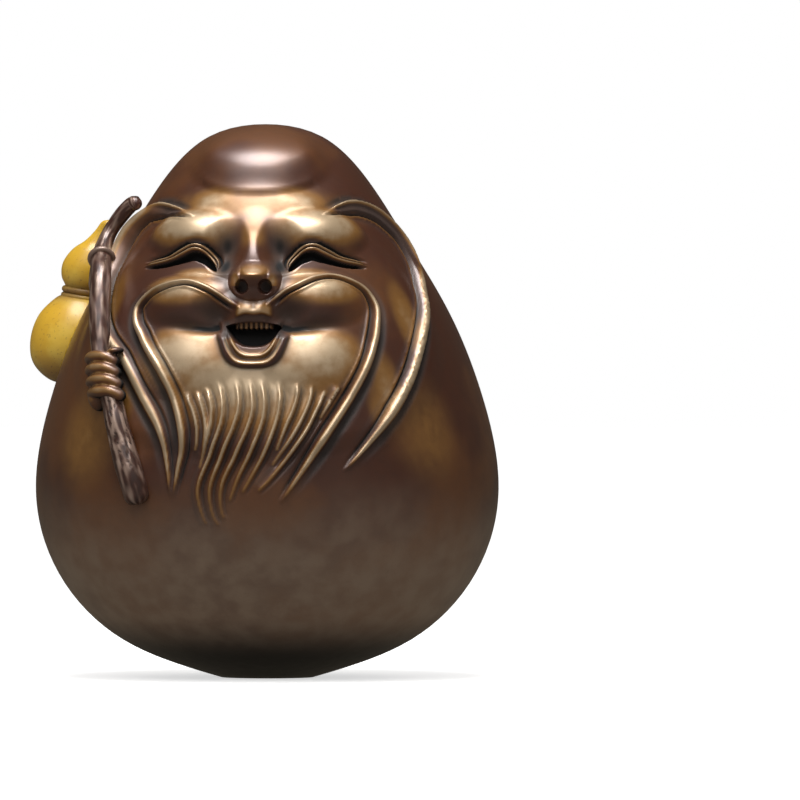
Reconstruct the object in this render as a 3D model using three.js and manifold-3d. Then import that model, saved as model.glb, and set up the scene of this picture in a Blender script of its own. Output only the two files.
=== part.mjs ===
// A roly-poly figure: an egg-shaped cast-metal figure of a laughing old immortal.
// His bald dome, laughing face, long brows, moustache and beard stand in relief on the egg.
// His right hand holds a knotty staff, and a bottle gourd hangs behind that shoulder.
// Millimetres, +Z up, the face looks along -Y. The origin is the middle of the small flat foot.
// A place on the egg is given by its turn from the front, in degrees towards +X, and its height.
import * as THREE from "three";
import Module from "manifold-3d";
import { mergeVertices } from "three/addons/utils/BufferGeometryUtils.js";

const wasm = await Module();
wasm.setup();

const { degToRad, lerp, smoothstep } = THREE.MathUtils;

// The egg: control points of its half outline, as [radius, height], from the foot to the crown
const FOOT_RADIUS = 12.5;
const OUTLINE = [
  [FOOT_RADIUS, 0],
  [40, 8],
  [58, 26.5],
  [65, 50.5],
  [59, 76.5],
  [50.5, 99],
  [38, 118.5],
  [29, 134],
  [17, 148],
  [0, 151],
];
const HEIGHT = 150;
const DEPTH_SHARE = 0.95; // depth of the egg against its width
const HEAD_LEAN = 5; // how far the crown stands forward of the foot
const LEAN_STARTS_AT = 55;
const COLUMNS = 46;
const ROWS = 33;
const FRONT_CROWDING = 0.5; // 0 spaces the columns evenly, 1 puts them all at the front
const FACE_CROWDING = 0.4; // the same for the rows, about the height of the face
const FACE_ROW_SHARE = 0.62;

// The step under the bald dome: its crease climbs by curl at curlTurn to either side, the step
// stands from below the crease to over it, melts into the dome above, and ends towards the temples
const CREASE = { height: 131, curl: 2.4, curlTurn: 35, below: -1.2, over: 2.2 };
const DOME = { rise: 1.5, meltFrom: 3, meltTo: 11, endsFrom: 28, endsTo: 62 };

// The face's own oval, which stands a little proud of the egg, and the width of its soft rim
const FACE = { height: 97, halfTurn: 69, halfHeight: 38, rise: 0.9, rim: 0.14 };

// Soft swellings and hollows of the face, in pairs to either side of the nose
const PAIRED_PADS = [
  { name: "upper lid", turn: 33, height: 120, across: 15, up: 7.5, rise: 2.2 },
  { name: "cheek", turn: 23, height: 101, across: 13.5, up: 8, rise: 3.6 },
  { name: "jowl", turn: 21, height: 87, across: 12, up: 9, rise: 1.4 },
  { name: "eye socket", turn: 11, height: 117.5, across: 6, up: 6.5, rise: -2 },
  { name: "smile crease", turn: 14, height: 95.5, across: 7, up: 4, rise: -1.3 },
];
const MIDDLE_PADS = [
  { name: "brow bone", turn: 0, height: 126, across: 22, up: 3.6, rise: 1.5 },
  { name: "nose bridge", turn: 0, height: 116, across: 3.6, up: 11, rise: 2.6 },
  { name: "upper lip", turn: 0, height: 100, across: 9, up: 5.5, rise: 2.2 },
];

// Strands of hair, as [turn, height] from root to tip
const MOUSTACHE_ARCH = [
  [5.5, 101],
  [12.5, 105.8],
  [25, 109],
  [36, 105.6],
  [39.5, 99],
];
const MOUSTACHES = [
  [...MOUSTACHE_ARCH, [37, 91], [31, 82.5], [20, 66.5], [7.8, 47.5]],
  [...mirrored(MOUSTACHE_ARCH), [-33, 91], [-25, 80.5], [-17.6, 68], [-18, 48]],
];
const BROW_ARCH = [
  [28, 126.3],
  [38, 129],
  [50, 130],
  [63, 128.5],
  [75, 122.5],
  [78, 113],
  [66, 99.5],
];
const BROWS = [
  [...BROW_ARCH, [49, 83.5], [32, 66], [23, 55.5]],
  [...mirrored(BROW_ARCH), [-45, 88.5], [-30.5, 74], [-24, 62], [-21.7, 47]],
];
const MOUSTACHE = { halfWidth: 1.8, rise: 2.2, rootShare: 0.75, tipShare: 0.35, steps: 15, sides: 5 };
const BROW = { halfWidth: 2.2, rise: 2.2, rootShare: 0.45, tipShare: 0.25, steps: 16, sides: 5 };
const EYELID = { halfWidth: 1.1, rise: 1.4, rootShare: 0.5, tipShare: 0.3, steps: 7, sides: 4 };
const EYE_SLIT = { halfWidth: 1.3, rise: 1.4, rootShare: 0.4, tipShare: 0.2, steps: 6, sides: 4 };
const LOWER_LIP = { halfWidth: 1.4, rise: 1.8, rootShare: 0.6, tipShare: 0.6, steps: 7, sides: 4 };
const BURIED = 1.4; // how far a strand's underside lies below the skin
const ROOT_SHARE = 0.16; // the part of a strand over which it swells from its root
const TIP_FROM = 0.62; // where along a strand it starts to thin to its tip

// The laughing eye: the lid's line, the dark slit under it, and the mouth
const LID_LINE = [
  [11.5, 111],
  [16, 114.8],
  [24, 116.6],
  [36, 113.2],
  [50, 110.6],
];
const SLIT_LINE = [
  [12, 110],
  [16.5, 112.6],
  [24, 113.9],
  [34, 111.4],
  [45, 109.6],
];
const MOUTH = { height: 93.6, halfWidth: 10, upper: 3.6, lower: 6, arch: 0.8, depth: 5 };
const LIP_LINE = [
  [-10.5, 93.5],
  [-8.5, 88.2],
  [-4.5, 85.9],
  [4.5, 85.9],
  [8.5, 88.2],
  [10.5, 93.5],
];

// The beard: locks that fan from under the lip and sweep to the figure's right
const LOCK = { halfWidth: 1.6, rise: 1.7, rootShare: 0.3, tipShare: 0.2, steps: 7, sides: 4 };
const LOCK_LENGTHS = [15, 22, 31, 41, 44, 39, 35, 32, 26, 29, 32, 12];
const BEARD_ROOT = { fromTurn: -18.5, toTurn: 22, height: 80.5, droop: 3.5 };
const BEARD_SWEEP = { left: 1, right: -20 }; // turn from root to tip of the outer locks
const BEARD_BEND = 1.4; // 1 sweeps a lock evenly, more keeps its sweep for the tip
const BEARD_SWAY = 2.8; // the leftmost locks' snaking, in degrees of turn
const COMMON_LOCK = 32; // the length of lock that the sweep is given for

// The nose: a ball and two wings, with a nostril in each wing
const NOSE_BALL = { turn: 0, height: 107.8, lift: 2.2, radii: [5, 4.8, 4.7], columns: 12, rows: 8 };
const NOSE_WING = { turn: 5.2, height: 106.3, lift: 1.4, radii: [3.1, 3.8, 3.2], columns: 8, rows: 6 };
const NOSTRIL = { turn: 3.9, height: 104.6, lift: 5, radii: [1.5, 2.4, 1.7], columns: 6, rows: 4 };

// The staff's middle line, as [turn, height, lift off the skin], from its crook to its foot
const STAFF_LINE = [
  [-76, 128.5, 5.5],
  [-76, 119, 5.4],
  [-71.5, 112, 4.2],
  [-58.5, 99.5, 2.8],
  [-43.5, 80.5, 2.2],
  [-34.5, 67, 1.8],
  [-28, 49, 0.6],
];
const STAFF = { radius: 3.3, topShare: 0.72, thickFrom: 0.3, endShare: 0.55, steps: 16, sides: 7 };
const KNOTS = { rise: 0.07, waves: 4.5, dips: 0.04, dipWaves: 3.7 };

// The hand: four fingers across the staff, a heel below them and a thumb tip above
const FINGERS = 4;
const FINGER = { halfWidth: 1.7, rise: 2.1, rootShare: 0.6, tipShare: 0.6, steps: 4, sides: 5 };
const FINGER_LIFT = 3.3; // off the skin, so that a finger lies on the staff
const FINGER_PITCH = 3.15;
const KNUCKLES = { turn: -47, height: 86.6, halfTurn: 7.2, shift: 1.6, bow: 1.9, sag: 0.5 };
const HAND_HEEL = { turn: -46, height: 77.5, lift: 1.6, radii: [4, 4.2, 6.5], columns: 10, rows: 7 };
const THUMB = { turn: -41, height: 87.6, lift: 3, radii: [2.6, 2.6, 1.5], columns: 7, rows: 5 };

// The cord: a ring about the staff, and a drop to the waist of the gourd
const CORD_RING = { share: 0.3, ringRadius: 3.3, cord: 0.75, sides: 4, around: 11 };
const CORD = { halfWidth: 1, rise: 1, rootShare: 0.9, tipShare: 0.8, steps: 4, sides: 4 };
const CORD_SINK = 5; // the drop stands on a web down to the skin
const CORD_DROP = [
  [-79, 112, 5.4],
  [-84, 107.5, 4.4],
  [-88, 104.5, 3.2],
];

// The bottle gourd: half outline along its own axis, as [radius, height], from its base
const GOURD_BASE = { turn: -105.5, height: 79.2, out: 3.4 };
const GOURD_LEAN = 9; // degrees that its stalk leans in to the figure
const GOURD_OUTLINE = [
  [0, 0],
  [6, 0.7],
  [11, 4.6],
  [12.6, 10.5],
  [11.4, 17.5],
  [7.4, 23],
  [4.9, 25],
  [5.3, 26.6],
  [6.7, 29],
  [7, 32.6],
  [5.4, 36.8],
  [3, 39.6],
  [1.9, 42.4],
  [1.5, 45],
  [0, 45.6],
];
const GOURD_SIDES = 16;
const GOURD_STEPS = 16;
const GOURD_SEAT_GAP = 0.3;
const WAIST_RING = { height: 25, radius: 5.3, cord: 0.9, pitch: 1.7, sides: 5 };

const COPPER = { color: 0x4a2c1b, roughness: 0.38, metalness: 0.85 };
const YELLOW = { color: 0xc39a1c, roughness: 0.5, metalness: 0.1 };

// The same line on the other side of the nose.
function mirrored(line) {
  return line.map(([turn, height]) => [-turn, height]);
}

// A point on the half outline, a uniform cubic B-spline, and the outline's direction there.
function outlineAt(t) {
  const [foot, second] = OUTLINE;
  const [beforeCrown] = OUTLINE.slice(-2);
  const points = [
    [2 * foot[0] - second[0], 2 * foot[1] - second[1]],
    ...OUTLINE,
    [-beforeCrown[0], beforeCrown[1]],
  ];
  const span = Math.min(Math.floor(t), points.length - 4);
  const f = t - span;
  const g = 1 - f;
  const place = [g ** 3, 3 * f ** 3 - 6 * f ** 2 + 4, -3 * f ** 3 + 3 * f ** 2 + 3 * f + 1, f ** 3];
  const slope = [-3 * g ** 2, 9 * f ** 2 - 12 * f, -9 * f ** 2 + 6 * f + 3, 3 * f ** 2];
  const mix = (weights, axis) =>
    weights.reduce((sum, weight, i) => sum + (weight * points[span + i][axis]) / 6, 0);
  return {
    radius: mix(place, 0),
    height: mix(place, 1),
    outward: mix(slope, 0),
    upward: mix(slope, 1),
  };
}

const OUTLINE_END = OUTLINE.length - 1;

// Where on the outline a height lies.
function outlineShare(height) {
  let low = 0;
  let high = OUTLINE_END;
  for (let i = 0; i < 30; i++) {
    const middle = (low + high) / 2;
    if (outlineAt(middle).height < height) low = middle;
    else high = middle;
  }
  return (low + high) / 2;
}

function lean(height) {
  return HEAD_LEAN * smoothstep(height, LEAN_STARTS_AT, HEIGHT);
}

// Rise of one soft pad at a place on the face: full at its middle and nothing past its rim.
function padRise(pad, turn, height, radius) {
  const across = (degToRad(turn - pad.turn) * radius) / pad.across;
  const up = (height - pad.height) / pad.up;
  const inside = Math.max(0, 1 - across ** 2 - up ** 2);
  return pad.rise * inside ** 1.5;
}

// How far the carved face stands above the plain egg, without its strands of hair.
function carving(turn, height, radius) {
  const oval = Math.hypot(turn / FACE.halfTurn, (height - FACE.height) / FACE.halfHeight);
  let rise = FACE.rise * (1 - smoothstep(oval, 1 - FACE.rim, 1));
  for (const pad of PAIRED_PADS) {
    rise += padRise(pad, turn, height, radius);
    rise += padRise({ ...pad, turn: -pad.turn }, turn, height, radius);
  }
  for (const pad of MIDDLE_PADS) rise += padRise(pad, turn, height, radius);
  const above = height - CREASE.height - CREASE.curl * (turn / CREASE.curlTurn) ** 2;
  const step = smoothstep(above, CREASE.below, CREASE.over);
  const melt = 1 - smoothstep(above, DOME.meltFrom, DOME.meltTo);
  const front = 1 - smoothstep(Math.abs(turn), DOME.endsFrom, DOME.endsTo);
  return rise + DOME.rise * step * melt * front;
}

// A point of the carved skin, lifted off it along its normal.
function skinAt(turn, share, lift = 0) {
  const { radius, height, outward, upward } = outlineAt(share);
  const angle = degToRad(turn);
  const sin = Math.sin(angle);
  const cos = Math.cos(angle);
  const leanSlope = lean(height + 0.5) - lean(height - 0.5);
  const around = new THREE.Vector3(cos, DEPTH_SHARE * sin, 0);
  const up = new THREE.Vector3(
    outward * sin,
    -DEPTH_SHARE * outward * cos - leanSlope * upward,
    upward,
  );
  const normal = around.cross(up).normalize();
  return new THREE.Vector3(radius * sin, -DEPTH_SHARE * radius * cos - lean(height), height)
    .addScaledVector(normal, carving(turn, height, radius) + lift);
}

function onSkin([turn, height, lift = 0], extra = 0) {
  return skinAt(turn, outlineShare(height), lift + extra);
}

// The largest body of a solid: a crumb of air sealed between crossing strands is filled so.
function largest(solid) {
  return solid.decompose().reduce((best, part) => (part.volume() > best.volume() ? part : best));
}

// The solid of a closed three.js geometry.
function solidOf(geometry) {
  const bare = geometry.clone();
  bare.deleteAttribute("normal");
  bare.deleteAttribute("uv");
  const merged = mergeVertices(bare, 1e-3);
  return new wasm.Manifold(
    new wasm.Mesh({
      numProp: 3,
      vertProperties: merged.attributes.position.array,
      triVerts: new Uint32Array(merged.index.array),
    }),
  );
}

function geometryOf(solid) {
  const mesh = solid.getMesh();
  return new THREE.BufferGeometry()
    .setAttribute("position", new THREE.BufferAttribute(mesh.vertProperties, 3))
    .setIndex(new THREE.BufferAttribute(mesh.triVerts, 1))
    .toNonIndexed();
}

// Moves every vertex of a geometry to where place(position, uv) puts it.
function reshape(geometry, place) {
  const { position, uv } = geometry.attributes;
  for (let i = 0; i < position.count; i++) {
    const from = new THREE.Vector3().fromBufferAttribute(position, i);
    const to = place(from, new THREE.Vector2().fromBufferAttribute(uv, i));
    position.setXYZ(i, to.x, to.y, to.z);
  }
  return geometry;
}

// The carved egg: a sphere whose rows and columns crowd towards the face.
function eggSolid(lift = 0) {
  const footShare = 1 / ROWS;
  const sphere = new THREE.SphereGeometry(1, COLUMNS, ROWS);
  return solidOf(
    reshape(sphere, (_, uv) => {
      const w = 2 * uv.x - 1;
      const turn = 180 * w * (1 - FRONT_CROWDING + FRONT_CROWDING * w ** 2);
      if (uv.y < footShare / 2) return new THREE.Vector3(0, 0, -lift);
      const v = (uv.y - footShare) / (1 - footShare);
      const phase = 2 * Math.PI * FACE_ROW_SHARE;
      const crowd = (Math.sin(2 * Math.PI * v - phase) + Math.sin(phase)) / (2 * Math.PI);
      const share = OUTLINE_END * (v - FACE_CROWDING * crowd);
      const point = skinAt(turn, THREE.MathUtils.clamp(share, 0, OUTLINE_END), lift);
      return uv.y < 1.5 * footShare ? point.setZ(-lift) : point;
    }),
  );
}

// The line between a strand's [turn, height, lift] points, sampled on the skin.
function skinLine(points) {
  const curve = new THREE.CatmullRomCurve3(
    points.map(([turn, height, lift = 0]) => new THREE.Vector3(turn, height, lift)),
    false,
    "centripetal",
  );
  return (t, extra = 0) => onSkin(curve.getPoint(THREE.MathUtils.clamp(t, 0, 1)).toArray(), extra);
}

// Unit directions across a skin line and out of the skin.
function skinAxes(line, t) {
  const along = line(t + 0.01).sub(line(t - 0.01)).normalize();
  const out = line(t, 1).sub(line(t)).normalize();
  return { side: along.cross(out).negate().normalize(), out };
}

// A strand of hair or a lid: a tapered ridge that follows a line on the skin.
function strandSolid(points, form, sink = BURIED) {
  const line = skinLine(points);
  const rod = new THREE.CylinderGeometry(1, 1, 1, form.sides, form.steps);
  return solidOf(
    reshape(rod, (from) => {
      const t = 0.5 - from.y;
      const { side, out } = skinAxes(line, t);
      const root = smoothstep(t, 0, ROOT_SHARE);
      const tip = 1 - smoothstep(t, TIP_FROM, 1);
      const size = lerp(form.rootShare, 1, root) * lerp(form.tipShare, 1, tip);
      const reach = from.z > 0 ? form.rise * size : sink;
      return line(t)
        .addScaledVector(side, from.x * form.halfWidth * size)
        .addScaledVector(out, from.z * reach);
    }),
  );
}

// One lock of the beard, from the left edge (0) to the right edge (1).
function beardLock(share, length) {
  const root = lerp(BEARD_ROOT.fromTurn, BEARD_ROOT.toTurn, share);
  const top = BEARD_ROOT.height - BEARD_ROOT.droop * (2 * share - 1) ** 2;
  const sweep = lerp(BEARD_SWEEP.left, BEARD_SWEEP.right, share) * (length / COMMON_LOCK);
  const sway = BEARD_SWAY * (1 - share);
  const points = [];
  for (let i = 0; i <= LOCK.steps; i++) {
    const t = i / LOCK.steps;
    const turn = root + sweep * t ** BEARD_BEND + sway * Math.sin(2 * Math.PI * t);
    points.push([turn, top - length * t]);
  }
  return strandSolid(points, LOCK);
}

// An egg-shaped lump set on the skin.
function lumpSolid({ turn, height, lift, radii, columns, rows }) {
  const lump = new THREE.SphereGeometry(1, columns, rows);
  lump.scale(...radii);
  lump.rotateZ(degToRad(turn));
  lump.translate(...onSkin([turn, height, lift]).toArray());
  return solidOf(lump);
}

function pairOf(lump) {
  return [lumpSolid(lump), lumpSolid({ ...lump, turn: -lump.turn })];
}

// The open laughing mouth, as the solid to cut away: flat above and round below.
function mouthHollow() {
  const bowl = new THREE.SphereGeometry(1, 14, 8);
  const { height, halfWidth, upper, lower, arch, depth } = MOUTH;
  const middle = onSkin([0, height]);
  return solidOf(
    reshape(bowl, (from) => {
      const up = from.z > 0 ? upper * from.z + arch * (1 - from.x ** 2) : lower * from.z;
      return new THREE.Vector3(from.x * halfWidth, from.y * depth, up).add(middle);
    }),
  );
}

function staffSolid() {
  const line = skinLine(STAFF_LINE);
  const rod = new THREE.CylinderGeometry(1, 1, 1, STAFF.sides, STAFF.steps);
  return solidOf(
    reshape(rod, (from) => {
      const t = 0.5 - from.y;
      const { side, out } = skinAxes(line, t);
      const ends = Math.min(1, STAFF.endShare + 6 * Math.min(t, 1 - t));
      const knots = KNOTS.rise * Math.sin(2 * Math.PI * KNOTS.waves * t);
      const dips = KNOTS.dips * Math.sin(2 * Math.PI * KNOTS.dipWaves * t);
      const taper = lerp(STAFF.topShare, 1, smoothstep(t, 0, STAFF.thickFrom));
      const radius = STAFF.radius * ends * taper * (1 + knots + dips);
      return line(t).addScaledVector(side, from.x * radius).addScaledVector(out, from.z * radius);
    }),
  );
}

// One finger, a bowed capsule that crosses the staff.
function fingerSolid(index) {
  const drop = index * FINGER_PITCH;
  const middle = KNUCKLES.turn + index * KNUCKLES.shift;
  const points = [-1, -0.5, 0, 0.5, 1].map((across) => [
    middle + across * KNUCKLES.halfTurn,
    KNUCKLES.height - drop - KNUCKLES.sag * Math.abs(across),
    FINGER_LIFT - KNUCKLES.bow * across ** 2,
  ]);
  return strandSolid(points, FINGER, FINGER_LIFT + BURIED);
}

function cordRing() {
  const { share, ringRadius, cord, sides, around } = CORD_RING;
  const line = skinLine(STAFF_LINE);
  const ring = new THREE.TorusGeometry(ringRadius, cord, sides, around);
  const along = line(share + 0.02).sub(line(share - 0.02)).normalize();
  ring.applyQuaternion(new THREE.Quaternion().setFromUnitVectors(new THREE.Vector3(0, 0, 1), along));
  ring.translate(...line(share).toArray());
  return solidOf(ring);
}

function figureSolid() {
  const raised = [
    ...MOUSTACHES.map((points) => strandSolid(points, MOUSTACHE)),
    ...BROWS.map((points) => strandSolid(points, BROW)),
    ...[LID_LINE, mirrored(LID_LINE)].map((points) => strandSolid(points, EYELID)),
    ...LOCK_LENGTHS.map((length, i) => beardLock(i / (LOCK_LENGTHS.length - 1), length)),
    strandSolid(LIP_LINE, LOWER_LIP),
    lumpSolid(NOSE_BALL),
    ...pairOf(NOSE_WING),
    staffSolid(),
    ...Array.from({ length: FINGERS }, (_, i) => fingerSolid(i)),
    lumpSolid(HAND_HEEL),
    lumpSolid(THUMB),
    cordRing(),
    strandSolid(CORD_DROP, CORD, CORD_SINK),
  ];
  const cut = [
    mouthHollow(),
    ...pairOf(NOSTRIL),
    ...[SLIT_LINE, mirrored(SLIT_LINE)].map((points) => strandSolid(points, EYE_SLIT)),
  ];
  const whole = raised.reduce((sum, piece) => sum.add(piece), eggSolid());
  return largest(cut.reduce((rest, piece) => rest.subtract(piece), whole));
}

// The gourd, standing behind the shoulder and cut to the skin that it is fixed to.
function gourdSolid() {
  const profile = new THREE.SplineCurve(GOURD_OUTLINE.map(([r, z]) => new THREE.Vector2(r, z)));
  const points = profile.getPoints(GOURD_STEPS).map((p) => new THREE.Vector2(Math.max(0, p.x), p.y));
  points[0].x = 0;
  points[points.length - 1].x = 0;
  const gourd = new THREE.LatheGeometry(points, GOURD_SIDES);
  gourd.rotateX(Math.PI / 2);
  const rings = [0, 1].map((i) => {
    const { height, radius, cord, pitch, sides } = WAIST_RING;
    const ring = new THREE.TorusGeometry(radius, cord, sides, GOURD_SIDES);
    return ring.translate(0, 0, height + (i - 0.5) * pitch);
  });
  const share = outlineShare(GOURD_BASE.height + WAIST_RING.height / 2);
  const beside = skinAt(GOURD_BASE.turn, share, GOURD_BASE.out).setZ(GOURD_BASE.height);
  const inward = new THREE.Vector3(-beside.x, -beside.y, 0).normalize();
  const hinge = new THREE.Vector3(0, 0, 1).cross(inward);
  const solids = [gourd, ...rings].map((geometry) => {
    geometry.applyQuaternion(new THREE.Quaternion().setFromAxisAngle(hinge, degToRad(GOURD_LEAN)));
    return solidOf(geometry.translate(...beside.toArray()));
  });
  return solids.reduce((sum, piece) => sum.add(piece));
}

const figure = new THREE.Group();

const body = new THREE.Mesh(geometryOf(figureSolid()), new THREE.MeshStandardMaterial(COPPER));
body.name = "figure";
figure.add(body);

const gourdCut = gourdSolid().subtract(eggSolid(GOURD_SEAT_GAP));
const gourd = new THREE.Mesh(geometryOf(gourdCut), new THREE.MeshStandardMaterial(YELLOW));
gourd.name = "gourd";
figure.add(gourd);

export default figure;
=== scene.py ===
"""An egg-shaped cast-metal figure of a laughing old immortal, with its staff and bottle gourd.

The figure stands in its own frame: +Z up, the face looks along -Y, and the origin is the middle
of the small flat foot. A place on the egg is given by its turn from the front, in degrees
towards +X, and its height. Sizes are in millimetres and become metres in the meshes.
"""
import logging
import math
from dataclasses import dataclass, field
from enum import Enum
from typing import Any, Callable, Optional, Sequence, Union

import bpy
import numpy as np
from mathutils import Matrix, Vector, noise


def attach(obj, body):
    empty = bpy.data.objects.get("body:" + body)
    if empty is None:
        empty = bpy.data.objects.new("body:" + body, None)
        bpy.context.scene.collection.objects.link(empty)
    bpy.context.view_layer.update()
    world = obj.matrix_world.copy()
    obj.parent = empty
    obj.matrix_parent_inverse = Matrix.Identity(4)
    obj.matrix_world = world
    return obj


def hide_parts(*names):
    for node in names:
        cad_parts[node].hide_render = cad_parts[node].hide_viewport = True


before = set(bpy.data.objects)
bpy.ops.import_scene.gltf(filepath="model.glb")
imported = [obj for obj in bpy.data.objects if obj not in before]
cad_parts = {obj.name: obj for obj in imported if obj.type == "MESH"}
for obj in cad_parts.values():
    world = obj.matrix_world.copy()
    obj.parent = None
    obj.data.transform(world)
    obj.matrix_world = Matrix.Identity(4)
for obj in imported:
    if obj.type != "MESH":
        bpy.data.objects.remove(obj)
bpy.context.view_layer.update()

MM = 0.001
TINY = 1e-6
ALL = slice(None)

LOG = logging.getLogger("figure")

Array = np.ndarray
Points = Sequence[Sequence[float]]
Span = tuple[float, float]
Color = tuple[float, float, float, float]


class Slot(Enum):
    """The two material slots of the part."""

    COPPER = "copper"
    YELLOW = "yellow"


class Mask(Enum):
    """What each vertex of a piece carries for its finish, each from 0 to 1: rubbing wear with painted
    highlight, and grime with painted shade.
    """

    # rubbing wear on crests, with painted highlight and painted reflection where the forms catch the light
    WORN_AND_HIGHLIGHT = "worn"
    # grime and patina in hollows, with painted shade in creases, holes, undersides and between parts
    GRIME_AND_SHADE = "grime"


def smoothstep(value: Array, low: float, high: float) -> Array:
    """Ease from 0 at low to 1 at high.

    Args:
        value: Numbers to ease.
        low: Where the step starts.
        high: Where the step ends.

    Returns:
        The eased numbers, from 0 to 1.
    """
    share = np.clip((value - low) / (high - low), 0.0, 1.0)
    return share * share * (3.0 - 2.0 * share)


def fade(value: Array, low: float, high: float) -> Array:
    """Ease from 1 at low to 0 at high."""
    return 1 - smoothstep(value, low, high)


def window(value: Array, opens: Span, closes: Span) -> Array:
    """Ease from 0 to 1 over the first span and back to 0 over the second."""
    return smoothstep(value, *opens) * fade(value, *closes)


def bell(value: Array, width: float) -> Array:
    """Return a soft bump, 1 at zero and gone at about twice the width."""
    return np.exp(-((value / width) ** 2))


def dome(value: Array, fullness: float = 1.0) -> Array:
    """Return a rounded ridge, 1 at zero and 0 from one on."""
    return np.clip(1.0 - value**2, 0.0, 1.0) ** fullness


def lerp(low: Any, high: Any, share: Any) -> Any:
    """Return the number that lies a share of the way from low to high."""
    return low + (high - low) * share


def table(points: Points, share: Array) -> Array:
    """Read a table of shares and values at shares."""
    return np.interp(share, *np.array(points, float).T)


def hammered(places: Array, pitch: float = 1.0) -> Array:
    """Return an uneven, hammered pattern of a pitch at places, about -1 to 1."""
    return np.array([noise.noise(Vector(place / pitch)) for place in places]) * 2.0


def mirrored(points: Points) -> list[tuple[float, ...]]:
    """Return the same line on the other side of the nose."""
    return [(-point[0], *point[1:]) for point in points]


def spline(points: Points, samples: int) -> Array:
    """Lay a smooth centripetal curve through points.

    Args:
        points: The points, each of the same count of numbers.
        samples: How many places to return.

    Returns:
        The places, evenly spread over the spans between the points.
    """
    known = np.array(points, float)
    known = np.vstack([2 * known[0] - known[1], known, 2 * known[-1] - known[-2]])
    spans = len(points) - 1
    where = np.linspace(0.0, spans, samples)
    span = np.minimum(where.astype(int), spans - 1)
    local = (where - span)[:, None]
    before, start, end, after = (known[span + i] for i in range(4))
    gap = [
        np.maximum(np.linalg.norm(b - a, axis=1)[:, None], TINY) ** 0.5
        for a, b in ((before, start), (start, end), (end, after))
    ]
    speed = (end - start) / gap[1]
    leave = ((start - before) / gap[0] - (end - before) / (gap[0] + gap[1]) + speed) * gap[1]
    arrive = (speed - (after - start) / (gap[1] + gap[2]) + (after - end) / gap[2]) * gap[1]
    cubic = 2 * start - 2 * end + leave + arrive
    square = -3 * start + 3 * end - 2 * leave - arrive
    return ((cubic * local + square) * local + leave) * local + start


@dataclass(frozen=True)
class Pad:
    """A soft swelling or hollow of the face, which may be shorter below its middle than above."""

    turn: float
    height: float
    across: float
    up: float
    rise: float
    down: Optional[float] = None
    softness: float = 1.5

    def rise_at(self, turn: Array, height: Array, radius: Array) -> Array:
        """Return how far the pad lifts the skin.

        Args:
            turn: Places, in degrees from the front.
            height: Their heights.
            radius: The plain egg's radius there.

        Returns:
            The lift in millimetres.
        """
        aside = np.radians(turn - self.turn) * radius / self.across
        above = (height - self.height) / np.where(height > self.height, self.up, self.down or self.up)
        return self.rise * np.maximum(0.0, 1.0 - aside**2 - above**2) ** self.softness


@dataclass(frozen=True)
class Stroke:
    """A ridge, groove or shade beside a line: how far off it runs, its half width and amount."""

    off: float
    half_width: float
    amount: float = 1.0

    def soft(self, distance: Array) -> Array:
        """Return the stroke with soft flanks at distances from its line."""
        return self.amount * bell(distance - self.off, self.half_width)

    def round(self, distance: Array) -> Array:
        """Return the stroke as a round ridge at distances from its line."""
        return self.amount * dome((distance - self.off) / self.half_width)


@dataclass(frozen=True)
class Spot:
    """A spot to either side of the middle of the face: its place, half width and half height."""

    aside: float
    height: float
    across: float
    up: float

    def soft(self, side: Array, level: Array) -> Array:
        """Return a soft bump on the spot."""
        return bell(side - self.aside, self.across) * bell(level - self.height, self.up)

    def off(self, side: Array, level: Array) -> Array:
        """Return how far off the spot's middle places lie, 1 at its rim."""
        return np.hypot((side - self.aside) / self.across, (level - self.height) / self.up)


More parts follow.
